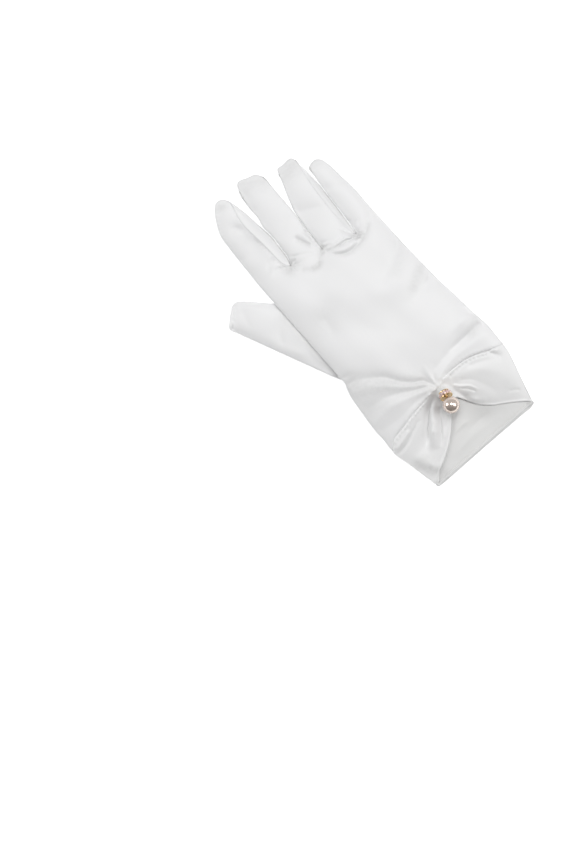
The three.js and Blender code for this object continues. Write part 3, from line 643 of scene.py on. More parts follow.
# Palm panel. The front of the hand and fingers is cut from the same satin. It lies flat on the
# table, has a hole for the set-in thumb, and passes over the thumb at the hand's edge.
THUMB_EDGE = [(-20, 68), (-30.8, 80.2), (-41.6, 92.5), (-50.6, 112.5), (-60.2, 133.5), (-67.6, 150),
              (-73, 162), (-65.5, 169.6), (-61, 172.4), (-56.5, 171.4), (-41.2, 155.8), (-30, 147),
              (0, 126)]
PALM_WRIST = [(-46.5, 37.2, 4), (-44, 38.2, 1.6), (-30, 39.8, 0.6), (34, 43.2, 0.6),
              (47.5, 42.6, 1.8), (50.5, 41.7, 4)]
RING_OUTER = [(26.6, 154.6, 2.65), (27.8, 165, 2.9), (28.7, 176, 3), (29.3, 186, 3), (29.8, 194, 3),
              (29.5, 204, 3.2), (28.9, 212, 3.5), (28.6, 216, 3.8)]
INDEX_OUTER = [(-17.4, 166.6, 3.25), (-16, 171, 3), (-15.1, 180, 3), (-14.6, 186, 3),
               (-14.7, 190, 3), (-15.3, 196, 3), (-16, 203, 3.1), (-17.2, 212, 3.3),
               (-18.6, 219, 3.5), (-20.2, 224, 3.8)]


def lowered(run):
    """The palm's edge beside a finger: as far below mid height as the back's edge is above it."""
    both_heights = 7.65
    return [(x, y, both_heights - z) for x, y, z in run]


palm_edge = cut_edge(PALM_WRIST, RIGHT_SIDE, LITTLE_TIP, lowered(LITTLE_TO_CROTCH), RING_OUTER,
                     RING_TIP, lowered(RING_TO_CROTCH), lowered(MIDDLE_RIGHT), MIDDLE_TIP,
                     lowered(MIDDLE_TO_CROTCH), INDEX_OUTER, INDEX_TIP, LEFT_SIDE, step=0.9)
THUMB_HOLE = [(-33, 84.2), (-20.2, 69.2), (-0.9, 126), (-30, 146.2), (-33, 148.6), (-33, 84.2)]
thumb_hole = cut_edge(*zip(THUMB_HOLE, THUMB_HOLE[1:]), step=1.2)
palm_plan, palm_faces = cut_cloth(palm_edge, 1.8, hole=thumb_hole)
away, at_edge, seam_height = held_heights(palm_plan, palm_edge)
beside_thumb = off_line(palm_plan, THUMB_EDGE, closed=True)[0]
beside_thumb *= np.where(within(palm_plan, THUMB_EDGE), 1, -1)
over_thumb = np.interp(beside_thumb, [-6, -3, 0, 3, 6], [0.3, 1.4, 4.2, 6.2, 6.4])
over_thumb *= np.clip((-palm_plan[:, 0] - 26) / 6, 0, 1)
SOLE = 0.3  # mm from the table up to the underside of slack cloth
ON_TABLE = 0.02  # mm, the lowest that any cloth lies
UNDER_BACK = 0.25  # mm from the back's edge down to the palm's
palm_height = ease(palm_plan, palm_faces, at_edge, seam_height - UNDER_BACK,
                   np.maximum(over_thumb, SOLE), 1.8)
palm_height = np.maximum(palm_height - rolled(away, 0.8) * 0.4, ON_TABLE)
palm_faces = palm_faces[~within(palm_plan[palm_faces].mean(1), thumb_hole)]
used, palm_faces = np.unique(palm_faces, return_inverse=True)
palm_faces = palm_faces.reshape(-1, 3)
palm_plan, palm_height = palm_plan[used], palm_height[used]
palm = cloth_piece("palm_panel_satin", [(palm_plan, palm_faces, palm_height, -1)])
sewn_in(palm, "palm_panel", satin, flat=(0.099, 0.19), held="laid", area=0.0145)

# Gussets. A narrow strip of satin is let in between each two fingers, from one tip down round
# the crotch and up to the other, so that the fingers have some depth.


def gusset(name, node, back_seams, palm_seams, tucks, flat, area):
    """Strip from a finger's tip down to the crotch and up the next, between back and palm. Each
    top edge is tucked in under the back by its tuck."""
    along, across, bulge = 70, 8, 0.35
    row_apart = 0.0008  # metres, on the flat strip
    rows, lines = [], []
    for seams, insets, drops in ((back_seams, tucks, [-0.06 - tuck for tuck in tucks]),
                                 (palm_seams, (0.15, 0.15), (0.15, 0.15))):
        line = []
        for seam, inset, drop in zip(seams, insets, drops):
            run = smooth_line(seam, 0.5)
            run = run[np.linspace(0, len(run) - 1, along).round().astype(int)]
            ahead = np.gradient(run[:, :2], axis=0)
            left = np.stack([-ahead[:, 1], ahead[:, 0]], 1)
            run[:, :2] += inset * left / np.linalg.norm(left, axis=1)[:, None]
            run[:, 2] += drop
            line.append(run[1:-1])
        lines.append(np.concatenate(line))
    top, bottom = lines
    ahead = np.gradient(top[:, :2], axis=0)
    right = np.stack([ahead[:, 1], -ahead[:, 0], np.zeros(len(top))], 1)
    right /= np.maximum(np.linalg.norm(right, axis=1)[:, None], 1e-9)
    for share in np.linspace(0, 1, across):
        swell = math.sin(math.pi * share)
        lift = np.array([0, 0, 0.5 * swell])
        rows.append(top + (bottom - top) * share + right * bulge * swell + lift)
    n = len(top)
    places = (np.concatenate(rows) + HEM_TO_ORIGIN) / 1000
    faces = [(r * n + k, (r + 1) * n + k, (r + 1) * n + k + 1, r * n + k + 1)
             for r in range(across - 1) for k in range(n - 1)]
    length = np.concatenate([[0], np.cumsum(np.linalg.norm(np.diff(top, axis=0), axis=1))]) / 1000
    flat_rows = np.repeat(np.arange(across) * row_apart, n)
    piece = cloth_mesh(name, places, faces, np.stack([flat_rows, np.tile(length, across)], 1))
    give_wall(piece)
    sewn_in(piece, node, satin, flat=flat, held="laid", area=area)


gusset("gusset_index_middle_satin", "gusset_index_middle", (MIDDLE_TO_CROTCH, INDEX_SEAM),
       (lowered(MIDDLE_TO_CROTCH), INDEX_OUTER), (0.3, 0.02), (0.011, 0.118), 0.0005)
gusset("gusset_middle_ring_satin", "gusset_middle_ring", (RING_TO_CROTCH, MIDDLE_RIGHT),
       (lowered(RING_TO_CROTCH), lowered(MIDDLE_RIGHT)), (0.3, 0.3), (0.01, 0.117), 0.00036)
gusset("gusset_ring_little_satin", "gusset_ring_little", (LITTLE_TO_CROTCH, RING_SEAM),
       (lowered(LITTLE_TO_CROTCH), RING_OUTER), (0.3, 0.02), (0.01, 0.113), 0.0004)

# Thumb. A tube of satin that is set into the palm, flattened where it lies on the table, with a
# squared tip that is sewn straight across and turned.
THUMB_SIDES = [(-20, 68, 3.7), (-30.8, 80.2, 3.7), (-41.6, 92.5, 3.7), (-46, 101.6, 3.7),
               (-50.6, 111.9, 3.7), (-60.2, 133.2, 3.6), (-67.6, 149.8, 3.5), (-73, 161.6, 3.4)]
THUMB_TIP = [(-73, 161.6, 3.4), (-72.6, 163, 3.4), (-69, 166.6, 3.4), (-65, 170, 3.4),
             (-61.6, 172.3, 3.4), (-60, 172.7, 3.4)]
THUMB_INNER = [(-60, 172.7, 3.4), (-57.4, 171.9, 3.4), (-55, 170, 3.5), (-48.4, 163.4, 3.6),
               (-42, 156.8, 3.6), (-30, 147, 3.7), (0, 126, 3.7)]
THUMB_ROOT = [(0, 126, 3.7), (-10, 97, 3.7), (-20, 68, 3.7)]
thumb_edge = cut_edge(THUMB_SIDES, THUMB_TIP, THUMB_INNER, THUMB_ROOT)[::-1]
THUMB_FOLDS = [
    (-0.9, 0.5, [(-71.4, 161), (-67, 165.4), (-63.4, 169.2), (-60.4, 171)]),
    (0.35, 0.7, [(-71.8, 162), (-67.8, 166), (-64, 169.8), (-60.8, 171.8)]),
    ((-0.7, -0.2), (0.8, 2.0), [(-71.8, 160.6), (-69.6, 156), (-66, 150)]),
    ((-0.4, -0.3), 3.0, [(-60, 164), (-62, 156)]),
    (0.4, 3.0, [(-54, 165), (-50, 160)]),
    ((-0.5, -0.3), (2.0, 3.0), [(-44, 104), (-46, 112), (-44, 122)]),
    ((-0.4, -0.3), (2.0, 3.5), [(-54, 134), (-50, 140), (-45, 143)]),
    ((0.3, 0.2), (2.4, 3.0), [(-50, 121), (-55, 130), (-58, 140)]),
]
thumb_plan, thumb_faces = cut_cloth(thumb_edge, 1.2)
away, at_edge, seam_height = held_heights(thumb_plan, thumb_edge)
root = off_line(thumb_plan, THUMB_ROOT)[0] < 1e-3
tip_or_side = at_edge & ~(root & (np.abs(thumb_plan[:, 1] - 97) < 28.5))
thumb_crown = np.interp(thumb_plan[:, 1], [85, 100, 125], [5, 5.4, 6])
thumb_top = ease(thumb_plan, thumb_faces, tip_or_side, seam_height, thumb_crown, 4.2)
side_gap = off_line(thumb_plan, thumb_edge[~(off_line(thumb_edge, THUMB_ROOT)[0] < 1e-3)])[0]
thumb_top += (slack(thumb_plan, 0.15) + folded(thumb_plan, THUMB_FOLDS)) * (1 - close_by(away, 1))
thumb_top += rolled(side_gap, 0.8) * 0.5 + puckered(thumb_plan, thumb_edge, side_gap, 2.8, 0.1)
thumb_sole = ease(thumb_plan, thumb_faces, tip_or_side, seam_height, SOLE, 1.8)
thumb_sole = np.maximum(thumb_sole, ON_TABLE)
thumb_top = np.where(tip_or_side, seam_height, thumb_top)
thumb_sole = np.where(tip_or_side, seam_height, thumb_sole)
thumb = cloth_piece("thumb_satin", [(thumb_plan, thumb_faces, thumb_top, 1),
                                    (thumb_plan, thumb_faces, thumb_sole, -1)])
# Painted shade on the thumb along the hand's edge, where the hand overhangs it.
paint_shade(thumb, [(0.15, 5.0, [(-42, 145), (-43, 120), (-40, 96)])])
sewn_in(thumb, "thumb", satin, flat=(0.105, 0.115), held="laid", area=0.0082)

# Cuff. A band of the same satin is sewn on at the wrist. Its back is cut away in a V and drawn
# up to the seam in a gather, so that it falls in deep folds on both sides, and the bare inside
# of its palm side shows in the V.
CUFF_SEAM = [(x, y + 0.1, z - 0.08) for x, y, z in WRIST_SEAM]
CUFF_LEFT = [(-46.5, 37.1, 4.02), (-46.7, 34, 3.6), (-45.9, 30, 3.4), (-44.9, 26, 3.1),
             (-43.1, 18, 2.6), (-41.3, 9.8, 2.1), (-39.2, 0.3, 1.5)]
CUFF_RIGHT = [(40.6, 0.3, 1.5), (41.2, 3.4, 1.7), (43, 10.3, 2.1), (45.3, 18.5, 2.6),
              (47.6, 26.5, 3.1), (48.7, 30.4, 3.4), (49.9, 35, 3.6), (50.5, 41.6, 4.12)]
V_LEFT = [(-39.2, 0.3, 1.5), (-33.5, 6.4, 1.6), (-27.5, 9.8, 1.7), (-20.5, 13.8, 1.8),
          (-14, 18.4, 1.9), (-9, 23, 2.3), (-4.6, 28, 3.4), (-1.4, 33.2, 6.6), (0.6, 38, 8.3)]
V_RIGHT = [(0.6, 38, 8.3), (5, 36.5, 4), (8, 32, 1.8), (10.2, 27.8, 1.55), (14, 22, 1.4),
           (20, 16.4, 1.4), (28, 11.2, 1.4), (34, 7, 1.4), (38.6, 3.2, 1.4), (40.6, 0.3, 1.5)]
PALM_HEM = [(-39.2, 0.3, 1.5), (-36.5, 0.1, 0.6), (-30, 0, 0.45), (0, 0, 0.4), (32, -0.4, 0.45),
            (37.5, -0.5, 0.6), (40.6, 0.3, 1.5)]
PALM_SEAM = [(-46.5, 37.1, 4.02), (-44, 37.7, 1.6), (-30, 39.3, 0.7), (34, 42.7, 0.7),
             (47.5, 41.9, 1.6), (50.5, 41.6, 4.12)]
CUFF_FOLDS = [
    # left: the tuck under the seam, and the deep folds that fan down from the gather
    ((0.9, 0.7), (1.6, 1.4), [(-43.4, 35.8), (-38, 37), (-32, 39)]),
    ((-0.7, -0.7, -0.3), (1.2, 1.4), [(-43.6, 32.6), (-37, 34), (-30, 37), (-22, 40)]),
    ((-0.6, -1.8, -2.6, -2.6, -2.2, -1.1, 0), (1.6, 2.2, 3.0, 3.4),
     [(-6, 44.4), (-10.4, 41.8), (-14.5, 38), (-19.5, 33), (-23.8, 29), (-28.8, 24.6),
      (-32.4, 20)], 0.7),
    ((0.2, 1.4, 2.3, 2.4, 1.2, 0), (1.1, 1.5, 1.8, 2.2),
     [(-8, 42), (-11, 39.4), (-15.4, 34.6), (-19.2, 30.4), (-22.4, 26.4), (-26, 19.6)], 2.6),
    ((-0.5, -1.4, -1.4, -0.3), (0.8, 1.1), [(-8.6, 35), (-10.8, 31.6), (-15, 26), (-20.6, 19.6)]),
    ((-0.9, -0.3), (1.6, 2.0), [(-6.2, 36.6), (-8.2, 32), (-12, 27)]),
    (0.4, (1.4, 2.0), [(-5.6, 31.4), (-9.6, 26.6), (-15, 22)]),
    ((0.8, 0.7), (3.2, 3.0), [(-36.5, 21), (-33, 12)]),
    # right: the folds that fan down from the gather, and the knot at the seam's end
    ((-0.7, -0.6), 0.6, [(12, 48.2), (19, 48.5), (26, 47.8), (32, 46), (38, 43)]),
    ((-1.1, -0.6), (1.2, 2.0), [(40, 43.2), (41.8, 40.6), (43.6, 37.8)]),
    (0.6, 0.9, [(42.6, 42.8), (44, 41.2)]),
    ((-0.8, -1.2, -0.8), (1.6, 2.2), [(6.6, 42.5), (9, 37.4), (10.6, 32.6)]),
    ((0.5, 0.6, 0.5, 0.1), 0.8, [(10, 42), (13, 38.8), (17, 35.4), (19.6, 30.4)]),
    (-0.4, 0.7, [(12.2, 37.6), (15, 34.6), (17.4, 31)]),
    ((0.3, 0.9, 0.3), (1.6, 2.4), [(10.8, 30.4), (13.6, 26.8), (17.4, 23)]),
    ((-0.4, -0.3), (1.8, 3.4), [(16, 41.6), (21, 37.4), (24, 31.6), (27, 24)]),
    ((0.3, 0.2), (2.4, 3.8), [(15, 45), (24, 42), (31, 37), (36, 30)]),
    ((-0.5, -0.6), (2.0, 3.0), [(26, 45), (34, 41.6), (43, 37)]),
    (-0.3, (0.8, 0.9), [(34.6, 15.8), (37, 14.8), (38.8, 13)]),
]
INNER_FOLDS = [
    # faint creases across the bare cloth in the V
    ((0, 0.4, 0.4, 0), (0.9, 1.1), [(-11, 18.6), (-4, 20), (3, 19.4)]),
    ((0, -0.3, -0.3, 0), (1.4, 2.2), [(-3, 14), (6, 15.4), (16, 14.2)]),
    ((0.15, 0.3, 0.15), 2, [(-18, 8.6), (0, 10.4), (18, 8.4)]),
]


def cuff_pit(plan):
    """The hollow under the jewelled drop, a little wider than long."""
    middle, deep, radius = (1.2, 41), 0.9, 5
    far = np.hypot((plan[:, 0] - middle[0]) / 1.15, plan[:, 1] - middle[1])
    return -deep * close_by(far, radius, 3)


KNOT_PLACE = (1.9, 44)
KNOT_TOP = 12.2


def knotted(plan, height):
    """The gather is pinched up into a knot that the drop is sewn to, and a ridge runs down from it
    under the drop and carries it. The cloth stays just clear of the drop's tilted rondelle."""
    x, y = plan[:, 0] - KNOT_PLACE[0], plan[:, 1]
    knot = KNOT_TOP - 1.1 * np.hypot(x, y - KNOT_PLACE[1])
    ridge = 8.7 - 0.16 * (x + 0.2 * (44.4 - y)) ** 2 - 0.5 * np.clip(36 - y, 0, None) ** 1.5
    ridge = np.where(y < 45, ridge, 0)
    soft = 0.35
    raised = soft * np.logaddexp(height / soft, np.maximum(knot, ridge) / soft)
    clear = 8.4 + np.where(y < 41.7, 0.43 * (41.7 - y), 2.4 * (y - 41.7))
    return np.where(np.abs(x) < 4.5, np.minimum(raised, clear), raised)


def hem_turned(plan):
    """The hem of the palm side: the cloth is turned up double, and each stitch pulls a dimple."""
    x, y = plan[:, 0], plan[:, 1]
    double = 0.2 / (1 + np.exp((y - 2.9) / 0.18)) + 0.4 * close_by(y - 1.5, 0.55)
    stitch = 0.35 * close_by(y - 2.8, 0.4) * (0.75 + 0.25 * np.cos(x * 2 * math.pi / STITCH))
    ripple = 0.16 * np.sin(0.33 * y + 0.03 * x) * np.sin(0.09 * x + 0.6)
    return double - stitch + ripple


cuff_edge = cut_edge(V_LEFT, V_RIGHT, CUFF_RIGHT, CUFF_SEAM[::-1], CUFF_LEFT)
cuff_plan, cuff_faces = cut_cloth(cuff_edge, 0.9, [(-18, 31, 14), (12, 36, 10)])
away, at_edge, seam_height = held_heights(cuff_plan, cuff_edge)
v_gap = gap_to(cuff_plan, V_LEFT, V_RIGHT)
crown = np.interp(cuff_plan[:, 1], [0, 10, 20, 30, 40], [2, 2.5, 3.3, 4.9, 7.4])
near_drop = close_by(np.hypot(cuff_plan[:, 0] - 0.5, cuff_plan[:, 1] - 38), 5.5, 4)
crown = np.minimum(crown, 1.9 + 0.34 * v_gap + 5 * near_drop)
cuff_height = ease(cuff_plan, cuff_faces, at_edge, seam_height, crown, 5.5)
side_gap = np.minimum(off_line(cuff_plan, CUFF_LEFT)[0], off_line(cuff_plan, CUFF_RIGHT)[0])
calm = 1 - close_by(side_gap, 2.5)
cuff_height += (slack(cuff_plan) + folded(cuff_plan, CUFF_FOLDS) + cuff_pit(cuff_plan)) * calm
seam_gap = gap_to(cuff_plan, CUFF_SEAM)
cuff_height -= seam_groove(cuff_plan, seam_gap)
# A row of stitches holds the turned seam down, and a narrow hem is rolled along the V.
row = np.interp(cuff_plan[:, 0], [-44, -12, -8, 8, 12, 40], [0.6, 0.6, 0, 0, 0.45, 0.45])
beat = 0.6 + 0.4 * np.cos(cuff_plan[:, 0] * 2 * math.pi / STITCH)
cuff_height += row * beat * close_by(seam_gap - 1.5, 0.5)
cuff_height += 0.4 * close_by(v_gap - 0.7, 0.45)
cuff_height -= 0.25 * close_by(v_gap - 1.8, 0.5) * (cuff_plan[:, 0] < 0)
cuff_height = knotted(cuff_plan, cuff_height)
clear_of_palm_side = 1.15
cuff_height = np.where(side_gap < 1e-3, seam_height, np.maximum(cuff_height, clear_of_palm_side))
inner_edge = cut_edge(PALM_HEM, CUFF_RIGHT, PALM_SEAM[::-1], CUFF_LEFT)
inner_plan, inner_faces = cut_cloth(inner_edge, 1.0, rings=np.arange(0.3, 3.7, 0.3))
away, at_edge, seam_height = held_heights(inner_plan, inner_edge)
side_gap = np.minimum(off_line(inner_plan, CUFF_LEFT)[0], off_line(inner_plan, CUFF_RIGHT)[0])
inner_height = ease(inner_plan, inner_faces, at_edge, seam_height, 0.5, 1.4)
inner_height += hem_turned(inner_plan) + folded(inner_plan, INNER_FOLDS)
inner_height = np.where(side_gap < 1e-3, seam_height, np.maximum(inner_height, ON_TABLE))
cuff = cloth_piece("cuff_satin", [(cuff_plan, cuff_faces, cuff_height, 1),
                                  (inner_plan, inner_faces, inner_height, -1)])
# The cuff's satin is painted a shade darker than the hand's, standing in for its weaker sheen and
# the shade on the cuff as it slopes down to the hem.
cross_satin_with_painted_shade = make_satin("stretch satin cut across its floats", "#E9E9E9", "#EEEEEE")
CUFF_PAINTED_SHADE = [
    # the painted shade on the knot's far slope, on the two lower sides, and in the two corners of
    # the hem
    (0.5, 1.8, [(0.4, 46.6), (3.4, 46.8)]),
    (0.2, 4.5, [(36, 21), (37, 14)]),
    (0.35, 3.0, [(-35, 21), (-31, 14)]),
    (0.5, 3.8, [(-41, 19), (-37, 11)]),
    (0.65, 4.4, [(-36, 12), (-31, 5)]),
    (0.6, 1.8, [(-38.5, 3.4), (-36, 1)]),
    (0.6, 1.4, [(37, 1), (38.6, 3)]),
]
paint_shade(cuff, CUFF_PAINTED_SHADE)
sewn_in(cuff, "cuff", cross_satin_with_painted_shade, flat=(0.19, 0.05), held="gathered", area=0.0062)

# Spacer. A rondelle: two thin gold-plated brass flanges on a hub, turned in one piece, and between
# them a ring of twelve cut glass stones in pale pink, each held by beads of metal raised at its
# corners. It is sewn to the gather through its middle, and lies tilted up from the table.
DROP_HEAD = Vector((12.979, -70.9, 12.65)) / 1000
DROP_WAY = Vector((-0.19, -0.9, 0.39)).normalized()
FLANGE_RADIUS = 0.0043
HEAD_RADIUS = 0.0035
HUB_RADIUS = 0.0026
FLANGE_THICK = 0.0006
SPACER_LENGTH = 0.0042
FLANGE_RIM = 0.00045
STONES = 12


def pick_faces(piece, wanted):
    """Enter edit mode on one piece, with the faces selected that wanted(centre, normal) allows."""
    take(piece)
    for part in (piece.data.vertices, piece.data.edges):
        for each in part:
            each.select = False
    for face in piece.data.polygons:
        face.select = bool(wanted(face.center, face.normal))
    bpy.ops.object.mode_set(mode="EDIT")
    bpy.ops.mesh.select_mode(type="FACE")


def raise_faces(high):
    """Extrude the selected faces along the drop's line, up or down."""
    bpy.ops.mesh.extrude_region_move(TRANSFORM_OT_translate={"value": (0, 0, high)})


def spread(copied, count, place):
    """Copies of one small part, each with its own mesh, where place(k) says; the first one goes."""
    made = []
    for k in range(count):
        one = copied.copy()
        one.data = copied.data.copy()
        bpy.context.collection.objects.link(one)
        one.location, one.rotation_euler, one.scale = place(k)
        made.append(one)
    bpy.data.objects.remove(copied)
    return made


def put_on_drop(piece):
    """Turn a piece made round +Z at the origin on to the drop's line, and apply its place."""
    take(piece)
    piece.rotation_mode = "QUATERNION"
    piece.rotation_quaternion = DROP_WAY.to_track_quat("Z", "Y")
    piece.location = DROP_HEAD
    bpy.ops.object.transform_apply(location=True, rotation=True, scale=True)


bpy.ops.object.select_all(action="DESELECT")
bpy.ops.mesh.primitive_cylinder_add(vertices=72, radius=HEAD_RADIUS, depth=FLANGE_THICK,
                                    location=(0, 0, FLANGE_THICK / 2))
wheel = bpy.context.object
wheel.name = "spacer_wheel"
pick_faces(wheel, lambda centre, normal: normal.z > 0.9)
bpy.ops.mesh.inset(thickness=HEAD_RADIUS - HUB_RADIUS)
raise_faces(SPACER_LENGTH - 2 * FLANGE_THICK)
raise_faces(0)
bpy.ops.transform.resize(value=(FLANGE_RADIUS / HUB_RADIUS, FLANGE_RADIUS / HUB_RADIUS, 1))
raise_faces(FLANGE_THICK)
# The big flange is dished inside its rim, with a raised boss round the thread's hole.
for narrower, higher in ((FLANGE_RIM, -0.00028), (0.0021, 0.0002), (0.0009, -0.0012)):
    bpy.ops.mesh.inset(thickness=narrower)
    raise_faces(higher)
pick_faces(wheel, lambda centre, normal: normal.z < -0.9 and centre.z < 0.0001)
bpy.ops.mesh.inset(thickness=FLANGE_RIM)
raise_faces(0.0002)
bpy.ops.object.mode_set(mode="OBJECT")
apply_modifier(wheel, "turned edges", "BEVEL", width=0.00012, segments=2, limit_method="ANGLE",
               angle_limit=math.radians(30))

# The beads of metal, raised from both flanges between the stones.
bpy.ops.object.select_all(action="DESELECT")
BEAD_RADIUS = 0.00034
bpy.ops.mesh.primitive_ico_sphere_add(subdivisions=2, radius=BEAD_RADIUS, location=(0, 0, 0))
bead = bpy.context.object
pick_faces(bead, lambda centre, normal: True)
bpy.ops.transform.resize(value=(1, 1, 1.25))
bpy.ops.object.mode_set(mode="OBJECT")


def bead_place(k):
    """Between two stones, on the small flange or the big one by turns."""
    turn = 2 * math.pi * (k // 2 + 0.5) / STONES
    high, out = (FLANGE_THICK, 0.0034) if k % 2 else (SPACER_LENGTH - FLANGE_THICK - 0.0003, 0.0036)
    return (out * math.cos(turn), out * math.sin(turn), high), (0, 0, 0), (1, 1, 1)


take(wheel, *spread(bead, 2 * STONES, bead_place))
bpy.ops.object.join()
bpy.ops.object.shade_smooth_by_angle(angle=math.radians(35))
put_on_drop(wheel)

# One stone, cut with eight sides: a table, a sloping crown, a girdle and a pavilion below.
STONE_RADIUS = 0.00102
GIRDLE_HIGH = 0.00018
CROWN_HIGH = 0.00036
PAVILION_DEEP = 0.0007
bpy.ops.object.select_all(action="DESELECT")
bpy.ops.mesh.primitive_cylinder_add(vertices=8, radius=STONE_RADIUS, depth=GIRDLE_HIGH,
                                    location=(0, 0, 0))
stone = bpy.context.object
pick_faces(stone, lambda centre, normal: normal.z > 0.9)
raise_faces(CROWN_HIGH)
bpy.ops.transform.resize(value=(0.56, 0.56, 1))
pick_faces(stone, lambda centre, normal: normal.z < -0.9)
raise_faces(-PAVILION_DEEP)
bpy.ops.transform.resize(value=(0.12, 0.12, 1))
bpy.ops.object.mode_set(mode="OBJECT")


def stone_place(k):
    """Table outwards, between the two flanges, and a little longer along the drop than across."""
    turn, out, high = 2 * math.pi * k / STONES, 0.00378, 0.00178
    return (out * math.cos(turn), out * math.sin(turn), high), (0, math.pi / 2, turn), (1.28, 1, 1)


take(*spread(stone, STONES, stone_place))
bpy.ops.object.join()
stones = bpy.context.object
stones.name = "spacer_stones"
bpy.ops.object.transform_apply(location=True, rotation=True, scale=True)
put_on_drop(stones)


def start_material(name):
    """A new material, its node tree and its shader."""
    material = bpy.data.materials.new(name)
    material.use_nodes = True
    return material, material.node_tree, material.node_tree.nodes["Principled BSDF"]


# Gold plate over polished brass: a warm mirror, a little duller where the polishing wheel ran out.
gold, tree, metal = start_material("polished gold plate on brass")
place = add_node(tree, "ShaderNodeTexCoord")
# Polishing marks are hair-fine, drawn here 0.4 mm apart.
marks = add_node(tree, "ShaderNodeTexNoise", {
    "Vector": place.outputs["Object"], "Scale": 2500.0, "Detail": 2.0})
tone = add_node(tree, "ShaderNodeMix", {
    "Factor": marks.outputs["Fac"], "A": colour("#E3BE86"), "B": colour("#F5DDB4")},
    data_type="RGBA")
wear = add_node(tree, "ShaderNodeMapRange", {
    "Value": marks.outputs["Fac"], "To Min": 0.12, "To Max": 0.28})
tree.links.new(tone.outputs["Result"], metal.inputs["Base Color"])
tree.links.new(wear.outputs["Result"], metal.inputs["Roughness"])
metal.inputs["Metallic"].default_value = 1.0

# Foil-backed cut glass: clear to pale pink, with sharp bright facets and dark ones beside them.
glass, tree, cut = start_material("foil-backed cut glass, pale pink")
place = add_node(tree, "ShaderNodeTexCoord")
# The foil behind each stone shines unevenly, in spots about 1 mm across.
depth = add_node(tree, "ShaderNodeTexVoronoi", {
    "Vector": place.outputs["Object"], "Scale": 900.0})
tone = add_node(tree, "ShaderNodeMix", {
    "Factor": depth.outputs["Distance"], "A": colour("#FFF4F0"), "B": colour("#D39E99")},
    data_type="RGBA")
tree.links.new(tone.outputs["Result"], cut.inputs["Base Color"])
cut.inputs["Metallic"].default_value = 0.25
cut.inputs["Roughness"].default_value = 0.06
cut.inputs["IOR"].default_value = 1.52
cut.inputs["Coat Weight"].default_value = 1.0
cut.inputs["Coat Roughness"].default_value = 0.03


def coat(piece, material):
    """Give a hard piece one material all over."""
    piece.data.materials.clear()
    piece.data.materials.append(material)


coat(wheel, gold)
coat(stones, glass)
for piece in (wheel, stones):
    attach(piece, "root")
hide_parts("spacer")

# Pearl. A round champagne pearl, bored from the rondelle's side, hangs there on the same thread.
# Nacre is built of thin clear layers, so it shines softly at the surface and again from below it.
PEARL_RADIUS = 0.0055
PEARL_RINGS = 40
PEARL_GAP = 0.0003
BORE_DEPTH = 0.0012
bpy.ops.object.select_all(action="DESELECT")
bpy.ops.mesh.primitive_uv_sphere_add(segments=64, ring_count=PEARL_RINGS, radius=PEARL_RADIUS,
                                     location=(0, 0, SPACER_LENGTH + PEARL_GAP + PEARL_RADIUS))
pearl = bpy.context.object
pearl.name = "pearl_bored"
pick_faces(pearl, lambda centre, normal: centre.z < -PEARL_RADIUS * math.cos(math.pi / PEARL_RINGS))
bpy.ops.mesh.inset(thickness=0.00005)
raise_faces(BORE_DEPTH)
pick_faces(pearl, lambda centre, normal: True)
bpy.ops.transform.resize(value=(1, 0.992, 1))
bpy.ops.object.mode_set(mode="OBJECT")
bpy.ops.object.transform_apply(location=True, rotation=True, scale=True)
bpy.ops.object.shade_smooth_by_angle(angle=math.radians(40))
put_on_drop(pearl)
nacre, tree, shell = start_material("champagne nacre")
place = add_node(tree, "ShaderNodeTexCoord")
# The layers show as faint clouds about 2 mm across, and as a skin grain of 0.2 mm.
clouds = add_node(tree, "ShaderNodeTexNoise", {
    "Vector": place.outputs["Object"], "Scale": 450.0, "Detail": 3.0, "Roughness": 0.55})
tone = add_node(tree, "ShaderNodeMix", {
    "Factor": clouds.outputs["Fac"], "A": colour("#D9C5B8"), "B": colour("#E8DAD0")},
    data_type="RGBA")
skin = add_node(tree, "ShaderNodeTexNoise", {
    "Vector": place.outputs["Object"], "Scale": 5000.0, "Detail": 2.0})
grain = add_node(tree, "ShaderNodeBump", {
    "Strength": 0.08, "Distance": 0.00002, "Height": skin.outputs["Fac"]})
tree.links.new(tone.outputs["Result"], shell.inputs["Base Color"])
tree.links.new(grain.outputs["Normal"], shell.inputs["Normal"])
shell.inputs["Metallic"].default_value = 0.6
shell.inputs["Roughness"].default_value = 0.22
shell.inputs["Coat Weight"].default_value = 1.0
shell.inputs["Coat Roughness"].default_value = 0.08
shell.inputs["Coat IOR"].default_value = 1.6
coat(pearl, nacre)
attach(pearl, "root")
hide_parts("pearl")

# Pin. On the real glove a thread runs from the gather through the rondelle into the pearl, out of
# sight. The CAD part's plain pin stands for it, in the rondelle's gold.
coat(bpy.data.objects["pearl_pin"], gold)

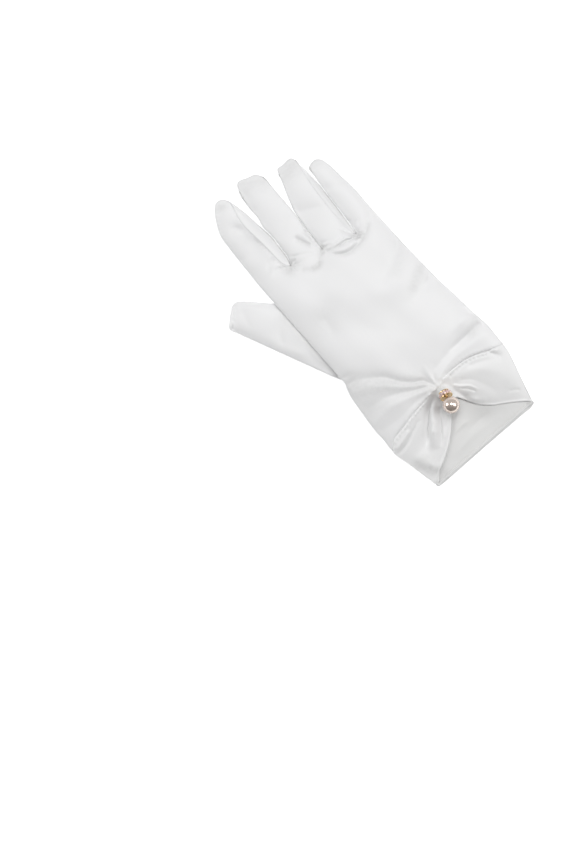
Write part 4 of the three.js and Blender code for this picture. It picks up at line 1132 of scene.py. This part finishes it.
# Floor and light. The glove lies on a plain white surface between two large soft boxes that
# stand to the left and right of the photograph, with a weak soft light from above.
bpy.ops.mesh.primitive_plane_add(size=6, location=(0, 0, 0))
floor = bpy.context.object
floor.name = "floor"
paper, tree, sheet = start_material("white paper roll")
grain = add_node(tree, "ShaderNodeTexNoise", {"Scale": 60.0, "Detail": 3.0})
pale = add_node(tree, "ShaderNodeMix", {
    "Factor": grain.outputs["Fac"], "A": colour("#FDFDFD"), "B": colour("#FFFFFF")},
    data_type="RGBA")
tree.links.new(pale.outputs["Result"], sheet.inputs["Base Color"])
sheet.inputs["Roughness"].default_value = 0.9
sheet.inputs["Emission Color"].default_value = colour("#FFFFFF")
sheet.inputs["Emission Strength"].default_value = 0.45
coat(floor, paper)

for name, side, up, high, size, power in (("left box", -2.18, 0.25, 1.38, 1.1, 24),
                                          ("right box", 1.77, 0.14, 1.9, 1.4, 28.5),
                                          ("top box", 0.12, 0.5, 2.35, 0.8, 15.5)):
    lamp = bpy.data.lights.new(name, "AREA")
    lamp.shape = "SQUARE"
    lamp.size = size
    lamp.energy = power
    box = bpy.data.objects.new(name, lamp)
    bpy.context.collection.objects.link(box)
    box.location = RIGHT_OF_FRAME * side + UP_FRAME * up + Vector((0, 0, high))
    box.rotation_euler = (-box.location).to_track_quat("-Z", "Y").to_euler()
# The room: a white wall behind the table's far side, and a dark one opposite.
world = bpy.data.worlds.new("studio")
world.use_nodes = True
tree = world.node_tree
way = add_node(tree, "ShaderNodeTexCoord")
lean = add_node(tree, "ShaderNodeVectorMath", {
    0: way.outputs["Generated"], 1: tuple(UP_FRAME)}, operation="DOT_PRODUCT")
bright = add_node(tree, "ShaderNodeMapRange", {
    "Value": lean.outputs["Value"], "From Min": -0.7, "From Max": 0.9,
    "To Min": 0.02, "To Max": 0.44})
back_drop = tree.nodes["Background"]
back_drop.inputs["Color"].default_value = colour("#FFFFFF")
tree.links.new(bright.outputs["Result"], back_drop.inputs["Strength"])
bpy.context.scene.world = world
bpy.context.scene.view_settings.view_transform = "Standard"
